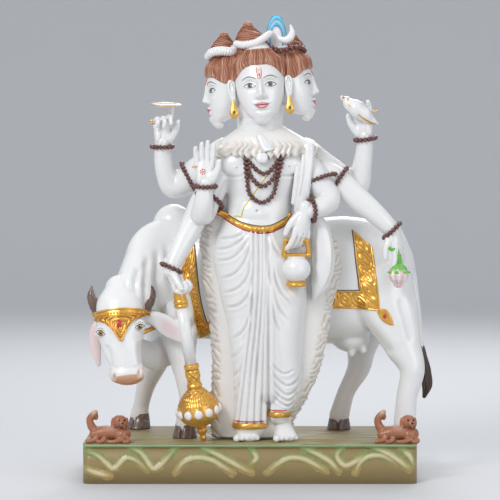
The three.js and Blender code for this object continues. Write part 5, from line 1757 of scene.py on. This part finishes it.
# %% Scrolls
def scrolls(long, wide, border=1.9, high=0.9, arms=1, seed_of=0.0):
    """The relief of a gilded band, for a strip of this length and width"""
    def relief(u, v):
        s, w = u * long, (v - 0.5) * wide
        room = wide - 2 * border
        cell = room * 1.05
        index = np.floor(s / cell + seed_of)
        cx = s + seed_of * cell - (index + 0.5) * cell
        hand_of = np.where(index % 2 == 0, 1.0, -1.0)
        reach = np.hypot(cx, w)
        angle = np.arctan2(w * hand_of, cx)
        spiral = np.cos(angle * arms + reach * 2 * math.pi / (room * 0.36))
        leaf = np.cos(angle * 5 + 1.0)
        inside = ease(room / 2 - np.abs(w), 0, 0.5)
        outer = ease(reach, room * 0.42, room * 0.52)
        carved = (1 - outer) * spiral + outer * leaf
        edge = ease(np.abs(w), room / 2, room / 2 + 0.4) * ease(wide / 2 - np.abs(w), 0, 0.3)
        return high * (0.5 + 0.5 * carved) * inside + edge * (high * 1.15)

    return relief


def beads_row(skin, line, size, gap, y_guess=-70):
    fine = spline(line, np.linspace(0, 1, 60))
    at = np.r_[0, np.cumsum(np.linalg.norm(np.diff(fine, axis=0), axis=1))]
    where = np.arange(gap / 2, at[-1], gap)
    spots = np.c_[np.interp(where, at, fine[:, 0]), np.interp(where, at, fine[:, 1])]
    hits = [front_of(skin, x, z, y_guess) for x, z in spots]
    return joined([lump((hit.x, hit.y - 0.6, hit.z), (size, size, size), 12, 8) for hit in hits])


# %% [markdown]
# The forehead plate is two strips: the long beaded one under the horns, and a pointed one below it
# that holds a drop-shaped red stone.

# %% Forehead plate, rope and cheek band
PLATE_TOP = [(-202, 219.4), (-184, 223.8), (-167, 225.9), (-151, 225.2), (-131, 222.3)]
PLATE_MIDDLE = [(-202, 210.5), (-186, 214.2), (-167, 215.8), (-150, 216.4), (-131, 216.0)]
PLATE_LOW = [(-202, 208.5), (-188, 206.5), (-177, 198), (-166.5, 184), (-158, 201.5), (-147, 213), (-131, 214.5)]


def forehead_plate():
    def band(u, v):
        return 0.8 + 0.8 * (ease(v, 0.8, 0.9) + ease(-v, -0.18, -0.08))

    def leaves(u, v):
        s, w = (u - 0.5) * 66, (v - 1) * 28
        reach = np.hypot(s, w + 12)
        angle = np.arctan2(w + 12, np.abs(s))
        curl = np.cos(reach * 1.1 + angle * 2.0)
        return 0.8 + 0.7 * curl + 0.8 * ease(-v, -0.14, -0.05)

    top = strip(HEAD_SKIN, PLATE_MIDDLE, PLATE_TOP, 16, 110, 0.8, band, 2.0, -60)
    low = strip(HEAD_SKIN, PLATE_LOW, PLATE_MIDDLE, 34, 110, 0.8, leaves, 2.0, -60)
    middle = [((a[0] + b[0]) / 2, (a[1] + b[1]) / 2) for a, b in zip(PLATE_TOP, PLATE_MIDDLE)]
    pearls = beads_row(skin_of(top), middle, 1.5, 4.1)
    return joined([top, low]), pearls


def twisted_rope(path, thick, twist=14):
    def strands(angle, t):
        return thick * 0.18 * np.cos(3 * (angle - t * twist))

    return limb([(*place, thick) for place in path], 36, 170, 5, across=BACKWARD, relief=strands)


plate, plate_pearls = forehead_plate()
rope = twisted_rope([(-196, -40, 228), (-190, -43, 240), (-182, -46, 252), (-171, -48, 258), (-159, -48, 252),
                     (-149, -46, 239), (-144, -45, 228)], 3.3, 26)
cheek = strip(HEAD_SKIN, [(-131.4, 196), (-138.5, 168), (-137.5, 156), (-134.5, 143)],
              [(-127.5, 195), (-133.4, 166), (-133.0, 154), (-131.6, 142)], 8, 60, 0.6,
              lambda u, v: 0.5 + 0.4 * np.cos(u * 90) * np.sin(np.pi * v), 2.0, -50)
collars = joined([horn_collar(line, 0.38) for line in HORNS])
red_drop = limb([(-169.2, -89, 200, 0.8, 0.8), (-169.2, -90, 204, 2.9, 1.6), (-169.2, -89.5, 208, 3.3, 1.8),
                 (-169.2, -88, 211, 2.2, 1.4)], 24, 16, 4, level=True, round_by=1.0)
finished("cow_harness", joined([plate, rope, cheek, collars]), gold)
finished("cow_plate_beads", plate_pearls, gold)
finished("cow_plate_stone", red_drop, crimson)

# %% [markdown]
# The saddle cloth is shown by its borders alone. Each border is a strip on the cow's flank with a
# raised rim on both sides, and a thin dark line is painted along its inner edge.

# %% Saddle borders
BAND_INNER = [(136.5, 325.4), (138.6, 305), (140.3, 284.8), (142.8, 265), (145.2, 245.2)]
BAND_OUTER = [(161.7, 303), (164.5, 285), (166.6, 265.4), (169.5, 243), (171.5, 219)]
LOW_TOP = [(106, 245.2), (125, 245.2), (145.2, 245.2)]
LOW_BOTTOM = [(100, 221), (135, 221.8), (171.4, 219.2)]
LEFT_OUTER = [(-92.3, 273.4), (-84, 250), (-77.6, 232.2), (-74, 202.8), (-68.1, 180)]
LEFT_INNER = [(-74, 306), (-71, 273.4), (-66.6, 236.6), (-61.5, 214.5), (-57, 200)]


def saddle_borders():
    bands = [strip(COW_SKIN, BAND_INNER, BAND_OUTER, 44, 150, 0.8, scrolls(92, 26, 2.4), 2.5, -25),
             strip(COW_SKIN, LOW_BOTTOM, LOW_TOP, 44, 110, 0.8, scrolls(62, 25, 2.4, seed_of=0.3), 2.5, -25),
             strip(COW_SKIN, LEFT_OUTER, LEFT_INNER, 36, 150, 0.8, scrolls(120, 16, 1.8), 2.5, -25),
             strip(COW_SKIN, [(-68.1, 180), (-60, 184), (-50.4, 190)], [(-70, 190), (-60.4, 196), (-49, 213)], 30, 50,
                   0.9, scrolls(22, 16, 2.0), 2.5, -25)]
    pendant = strip(COW_SKIN, [(168, 216), (174, 207), (183, 201.5), (189, 200.5)],
                    [(171, 223), (180, 221), (186, 212), (189, 201.5)], 16, 30, 0.9,
                    lambda u, v: 1.1 * np.sin(np.pi * v) ** 0.5 * np.sin(np.pi * np.clip(u, 0.03, 0.97)) ** 0.5, 2.5, -10)
    dark = [stroke(COW_SKIN, [(p[0] - 0.9, p[1]) for p in BAND_INNER[:-1]] + [(144.4, 246.2)], 0.9, 60, 1.0, lift=0.5, y_guess=-25),
            stroke(COW_SKIN, [(104, 246.1), (125, 246.2), (144.6, 246.2)], 0.9, 40, 1.0, lift=0.5, y_guess=-25),
            stroke(COW_SKIN, [(p[0] + 0.9, p[1] + 0.3) for p in LEFT_INNER], 0.9, 60, 1.0, lift=0.5, y_guess=-25)]
    stone = dot(skin_of(pendant), 177.2, 212.8, 2.4, 3.2, lift=0.5, y_guess=-15)
    return joined(bands + [pendant]), joined(dark), stone


borders, border_lines, pendant_stone = saddle_borders()
finished("saddle_borders", borders, gold)
finished("saddle_lines", border_lines, line_black)
finished("saddle_stone", pendant_stone, crimson)

# %% [markdown]
# Small dogs lie in pairs at the two front corners of the base. In each pair one lifts its muzzle
# and the other rests its head on its back. They are fused, then the eyes and noses are painted.

# %% Dogs
def dog_pair(x, flip):
    def at(places_):
        return [(place[0], place[1] - 2, place[2], *place[3:]) for place in places_]

    parts = [limb(at([(-20, -2, 11, 7, 7), (-8, -2, 14, 9, 9.5), (6, -1, 13.5, 9.5, 10), (19, 0, 12, 8.5, 9)]), 32, 24,
                  across=UPWARD),
             limb(at([(-17, 0, 14, 6.6, 6.4), (-24, 1, 22, 5.6, 5.4), (-26, 0, 31, 4.6, 4.6), (-22, -1, 37, 4.2, 4.4),
                      (-18, -2, 41, 2.8, 3.0)]), 24, 24, across=BACKWARD),
             lump((-18, -1, 35), (3, 2.6, 5.5), 16, 12),
             lump((15, -9, 10), (9, 5.5, 9), 24, 16), lump((13, -7, 29), (9.5, 8.6, 8.4), 24, 16),
             lump((17, -13, 26.5), (4.8, 5, 4.2), 20, 14), lump((5, -9, 27), (3.4, 3, 7.4), 16, 12),
             lump((22, -4, 27), (2.6, 4, 7), 16, 12)]
    legs = [[(-15, -8, 11, 4), (-20, -11, 5, 3.4), (-28, -12, 3.4, 3.2)], [(-6, -9, 9, 4), (-9, -13, 4, 3.3), (-14, -14, 3, 3)],
            [(16, -12, 6, 4), (8, -15, 3.6, 3.2), (0, -15, 3, 3)], [(21, -8, 8, 4), (25, -12, 4, 3.2), (20, -15, 3, 3)]]
    parts += [limb(leg, 16, 12, across=BACKWARD) for leg in legs]
    mesh = fused(parts, 0.95, 4)
    co = places(mesh)
    rough = 0.25 * np.sin(co[:, 0] * 1.7 + co[:, 2] * 0.8) * np.sin(co[:, 1] * 1.5 + co[:, 2])
    move(mesh, co + outward(mesh) * rough[:, None])
    co = places(mesh)
    paint(mesh, 0.5 * np.exp(-(((co[:, 0] + 20) / 5) ** 2) - ((co[:, 2] - 41) / 4) ** 2), (0.80, 0.60, 0.48))
    paint(mesh, 0.35 * np.exp(-(((co[:, 0] - 1) / 9) ** 2) - ((co[:, 2] - 21) / 4) ** 2), (0.78, 0.52, 0.40))
    skin = skin_of(mesh)
    spots = joined([dot(skin, 12.4, 31.5, 1.3, 1.4, lift=0.3, y_guess=-20), dot(skin, 19.4, 31.0, 1.1, 1.3, lift=0.3, y_guess=-20),
                    dot(skin, 17.6, 27.6, 1.7, 1.3, lift=0.3, y_guess=-20)])
    for one in (mesh, spots):
        one.transform(Matrix.Translation((x, -74, BASE_TOP - 0.8)))
    return mesh, spots


dogs_and_spots = [dog_pair(-182, False), dog_pair(192, False)]
finished("dogs", joined([pair[0] for pair in dogs_and_spots]), clay)
finished("dog_spots", joined([pair[1] for pair in dogs_and_spots]), line_black)

# %% [markdown]
# The base is one slab with rounded corners. Its front is carved with rocks: pale rounded ridges
# that rise and fall like low hills, painted green above and tan below. Its top is brushed with
# green and brown streaks.

# %% Base
def slab_outline(corner=10, lines=16):
    """A rounded rectangle drawn corner by corner, as a list of places beside an empty bmesh"""
    bm = bmesh.new()
    width, depth = BASE_WIDTH / 2 - corner, BASE_DEPTH / 2 - corner
    ring = []
    for k, (sx, sy) in enumerate([(1, -1), (1, 1), (-1, 1), (-1, -1)]):
        start = -math.pi / 2 + k * math.pi / 2
        for i in range(lines + 1):
            angle = start + i / lines * math.pi / 2
            ring.append((sx * width + corner * math.cos(angle), sy * depth + corner * math.sin(angle)))
    return bm, ring


RIDGES = [
    [(-212, 42), (-198, 38), (-186, 28), (-176, 20), (-160, 34), (-146, 30), (-133, 18)],
    [(-214, 20), (-196, 14), (-180, 10)], [(-152, 46), (-140, 40), (-124, 20), (-110, 30), (-96, 46)],
    [(-96, 14), (-88, 26), (-72, 34), (-52, 32), (-34, 22), (-22, 14)],
    [(-60, 46), (-42, 38), (-20, 26), (2, 14)], [(2, 44), (8, 34), (2, 26)],
    [(22, 14), (36, 26), (52, 34), (70, 32), (86, 24), (98, 16)], [(70, 46), (88, 38), (104, 28), (114, 16)],
    [(118, 46), (112, 36), (122, 24), (138, 30), (150, 40)], [(136, 14), (142, 28), (154, 36), (172, 36), (188, 26)],
    [(160, 46), (176, 40), (192, 30), (206, 18)], [(196, 44), (206, 36), (212, 24)],
]


def base_slab():
    bm = bmesh.new()
    bmesh.ops.create_grid(bm, x_segments=420, y_segments=64, size=0.5)
    front = as_mesh(bm)
    co = places(front)
    u, v = co[:, 0] + 0.5, co[:, 1] + 0.5
    half, depth, corner = BASE_WIDTH / 2, BASE_DEPTH / 2, 10
    run = half - corner
    quarter = corner * math.pi / 2
    length = 2 * run + 2 * quarter + 40
    s = (u - 0.5) * length
    beyond = np.abs(s) - run
    angle = np.clip(beyond / corner, 0, math.pi / 2)
    x = np.sign(s) * (np.minimum(np.abs(s), run) + corner * np.sin(angle))
    y = -depth + 3 + corner * (1 - np.cos(angle)) + np.maximum(beyond - quarter, 0)
    z = v * BASE_TOP
    flat = np.c_[s, np.zeros(len(s)), z]
    hills = np.zeros(len(s))
    for line in RIDGES:
        far, _, along = from_line(flat, line, 20)
        hills = np.maximum(hills, np.exp(-((far / 4.4) ** 2)) * (0.55 + 0.45 * np.sin(np.pi * along)))
    rough = rough_noise(np.c_[s, z * 1.4, z * 0], 9.0, 3.0) * 0.5 + rough_noise(np.c_[s, z, z * 0], 3.5, 8.0) * 0.25
    rim = ease(z, 46.5, 49)
    out = (2.5 * hills + rough * 0.55 - 0.4) * (1 - rim) * ease(z, 0, 3) + rim * 1.2
    nx, ny = np.sign(s) * np.sin(angle), -np.cos(angle)
    out = np.minimum(out, 2.6) * (np.abs(s) < run + quarter + 30)
    co = np.c_[x + nx * np.minimum(out, 0.0), y + ny * out, z]
    move(front, co)
    tone = 0.5 + 0.5 * rough
    tan = ease(30 - z, -14, 20)
    paint(front, np.ones(len(s)), (0.22, 0.29, 0.085))
    paint(front, 0.7 * tan, (0.44, 0.27, 0.10))
    paint(front, 0.85 * ease(9 - z, -5, 9), (0.42, 0.17, 0.06))
    paint(front, 0.85 * ease(hills, 0.45, 0.95), (0.72, 0.60, 0.38))
    paint(front, 0.45 * ease(tone, 0.5, 0.9) * (1 - rim), (0.58, 0.52, 0.26))
    paint(front, 0.35 * ease(-tone, -0.45, -0.1) * (1 - rim), (0.08, 0.12, 0.03))
    # the rim along the top of the front is green paint, made pale as a painted highlight along the edge
    paint(front, 0.85 * rim, (0.42, 0.58, 0.36))
    return front


def base_body():
    bm = bmesh.new()
    corner = 10
    bmesh.ops.create_grid(bm, x_segments=1, y_segments=1, size=0.5)
    bmesh.ops.scale(bm, vec=(BASE_WIDTH, BASE_DEPTH - 3, 1), verts=bm.verts)
    bmesh.ops.translate(bm, vec=(0, 1.5, 0), verts=bm.verts)
    up = bmesh.ops.extrude_face_region(bm, geom=bm.faces[:], use_keep_orig=True)["geom"]
    bmesh.ops.translate(bm, vec=(0, 0, BASE_TOP), verts=[v for v in up if isinstance(v, bmesh.types.BMVert)])
    bmesh.ops.recalc_face_normals(bm, faces=bm.faces)
    tall = [edge for edge in bm.edges if abs(edge.verts[0].co.z - edge.verts[1].co.z) > 1]
    bmesh.ops.bevel(bm, geom=tall, offset=corner, offset_type="OFFSET", segments=10, profile=0.5, affect="EDGES",
                    material=-1)
    return as_mesh(bm)


def base_top():
    bm = bmesh.new()
    bmesh.ops.create_grid(bm, x_segments=300, y_segments=130, size=0.5)
    mesh = as_mesh(bm)
    co = places(mesh)
    half, depth, corner = BASE_WIDTH / 2, BASE_DEPTH / 2, 10
    x, y = co[:, 0] * BASE_WIDTH, co[:, 1] * BASE_DEPTH
    over = np.maximum(np.abs(x) - (half - corner), 0)
    room = depth - corner + np.sqrt(np.maximum(corner**2 - over**2, 0))
    y = np.clip(y / depth, -1, 1) * room
    streaks = np.zeros(len(co))
    for i, (size, seed_of) in enumerate([(34, 2.0), (60, 7.0)]):
        streaks += rough_noise(np.c_[x / 6, y * 2.6, y * 0], size / 6, seed_of)
    z = BASE_TOP + 0.25 * streaks
    move(mesh, np.c_[x, y, z])
    tone = 0.5 + 0.5 * streaks
    paint(mesh, np.ones(len(co)), (0.26, 0.27, 0.11))
    brown = ease(y, -30, 60) * 0.6 + 0.5 * np.exp(-(((x + 60) / 60) ** 2) - ((y - 10) / 60) ** 2)
    brown += 0.35 * ease(x, 60, 130)
    paint(mesh, brown * (0.5 + 0.5 * tone), (0.20, 0.085, 0.04))
    paint(mesh, 0.7 * ease(tone, 0.55, 0.95), (0.46, 0.50, 0.26))
    paint(mesh, 0.6 * ease(-tone, -0.4, -0.1), (0.16, 0.10, 0.04))
    # the front edge of the top is made a lighter green: a painted highlight along the edge
    paint(mesh, 0.7 * ease(-y, 74, 96), (0.30, 0.42, 0.20))
    paint(mesh, 0.5 * np.exp(-(((x + 104) / 14) ** 2) - ((y + 72) / 10) ** 2), (0.62, 0.20, 0.06))
    bm = bmesh.new()
    bm.from_mesh(mesh)
    bpy.data.meshes.remove(mesh)
    down = bmesh.ops.extrude_face_region(bm, geom=bm.faces[:], use_keep_orig=True)["geom"]
    bmesh.ops.translate(bm, verts=[v for v in down if isinstance(v, bmesh.types.BMVert)], vec=(0, 0, -2.5))
    bmesh.ops.recalc_face_normals(bm, faces=bm.faces)
    return as_mesh(bm)


def closed_behind(mesh, vec):
    bm = bmesh.new()
    bm.from_mesh(mesh)
    bpy.data.meshes.remove(mesh)
    back = bmesh.ops.extrude_face_region(bm, geom=bm.faces[:], use_keep_orig=True)["geom"]
    bmesh.ops.translate(bm, verts=[v for v in back if isinstance(v, bmesh.types.BMVert)], vec=vec)
    bmesh.ops.recalc_face_normals(bm, faces=bm.faces)
    return as_mesh(bm)


slab = base_body()
paint(slab, np.full(len(slab.vertices), 1.0), (0.30, 0.22, 0.09))
finished("base_slab", slab, rock)
finished("base_front", closed_behind(base_slab(), (0, 3.5, 0)), rock)
finished("base_top", base_top(), rock)

# %% [markdown]
# The statue stands in a wide pale dish: its flat middle is the floor, and its edge curves up all
# round, so no line shows where floor and wall meet, from whichever side one looks.

# %% Pale floor
def dish():
    bm = bmesh.new()
    ring = [bm.verts.new((0.0, 0, 0)), bm.verts.new((3.4, 0, 0))]
    for i in range(1, 13):
        angle = math.radians(i * 7.5)
        ring.append(bm.verts.new((3.4 + 1.8 * math.sin(angle), 0, 1.8 - 1.8 * math.cos(angle))))
    ring.append(bm.verts.new((5.2, 0, 4.2)))
    edges = [bm.edges.new(pair) for pair in zip(ring, ring[1:])]
    bmesh.ops.spin(bm, geom=ring + edges, cent=(0, 0, 0), axis=(0, 0, 1), angle=math.tau, steps=96, use_merge=True)
    bmesh.ops.remove_doubles(bm, verts=bm.verts, dist=1e-5)
    bmesh.ops.recalc_face_normals(bm, faces=bm.faces)
    if bm.faces[:][0].normal.z < 0:
        bmesh.ops.reverse_faces(bm, faces=bm.faces)
    mesh = as_mesh(bm)
    mesh.shade_smooth()
    return mesh


paper = bpy.data.materials.new("pale_paper")
paper.use_nodes = True
paper_shader = paper.node_tree.nodes["Principled BSDF"]
paper_shader.inputs["Base Color"].default_value = (0.60, 0.61, 0.63, 1)
paper_shader.inputs["Roughness"].default_value = 0.7
floor = bpy.data.objects.new("floor", dish())
floor.data.materials.append(paper)
bpy.context.scene.collection.objects.link(floor)

# %% [markdown]
# The light is that of a small studio: a cloudy sky all round, a large soft box from the upper left
# that models the forms, a weaker one from the right, and one from behind for the edges. The view
# transform is the plain one, because it keeps white stone white.

# %% Studio light
world = bpy.data.worlds.new("studio")
world.use_nodes = True
world.node_tree.nodes["Background"].inputs[0].default_value = (0.95, 0.97, 1.0, 1)
world.node_tree.nodes["Background"].inputs[1].default_value = 0.86
bpy.context.scene.world = world
bpy.context.scene.view_settings.view_transform = "Standard"


def softbox(name, place, aim, size, watts, colour=(1, 1, 1)):
    data = bpy.data.lights.new(name, "AREA")
    data.size = size
    data.energy = watts
    data.color = colour
    box = bpy.data.objects.new(name, data)
    box.location = place
    box.rotation_euler = (Vector(aim) - Vector(place)).to_track_quat("-Z", "Y").to_euler()
    bpy.context.scene.collection.objects.link(box)


softbox("key", (-1.3, -2.0, 1.7), (0, 0, 0.3), 0.9, 34)
softbox("fill", (1.7, -1.9, 0.9), (0, 0, 0.3), 1.4, 12)
softbox("back", (0.3, 1.8, 1.9), (0, 0, 0.3), 1.4, 26)

# %% [markdown]
# Last, the body is handed over as a finished piece, and the number of triangles in all is printed.

# %% Finish
finished("figure_body", body, marble)
print("triangles in all:", sum(made))
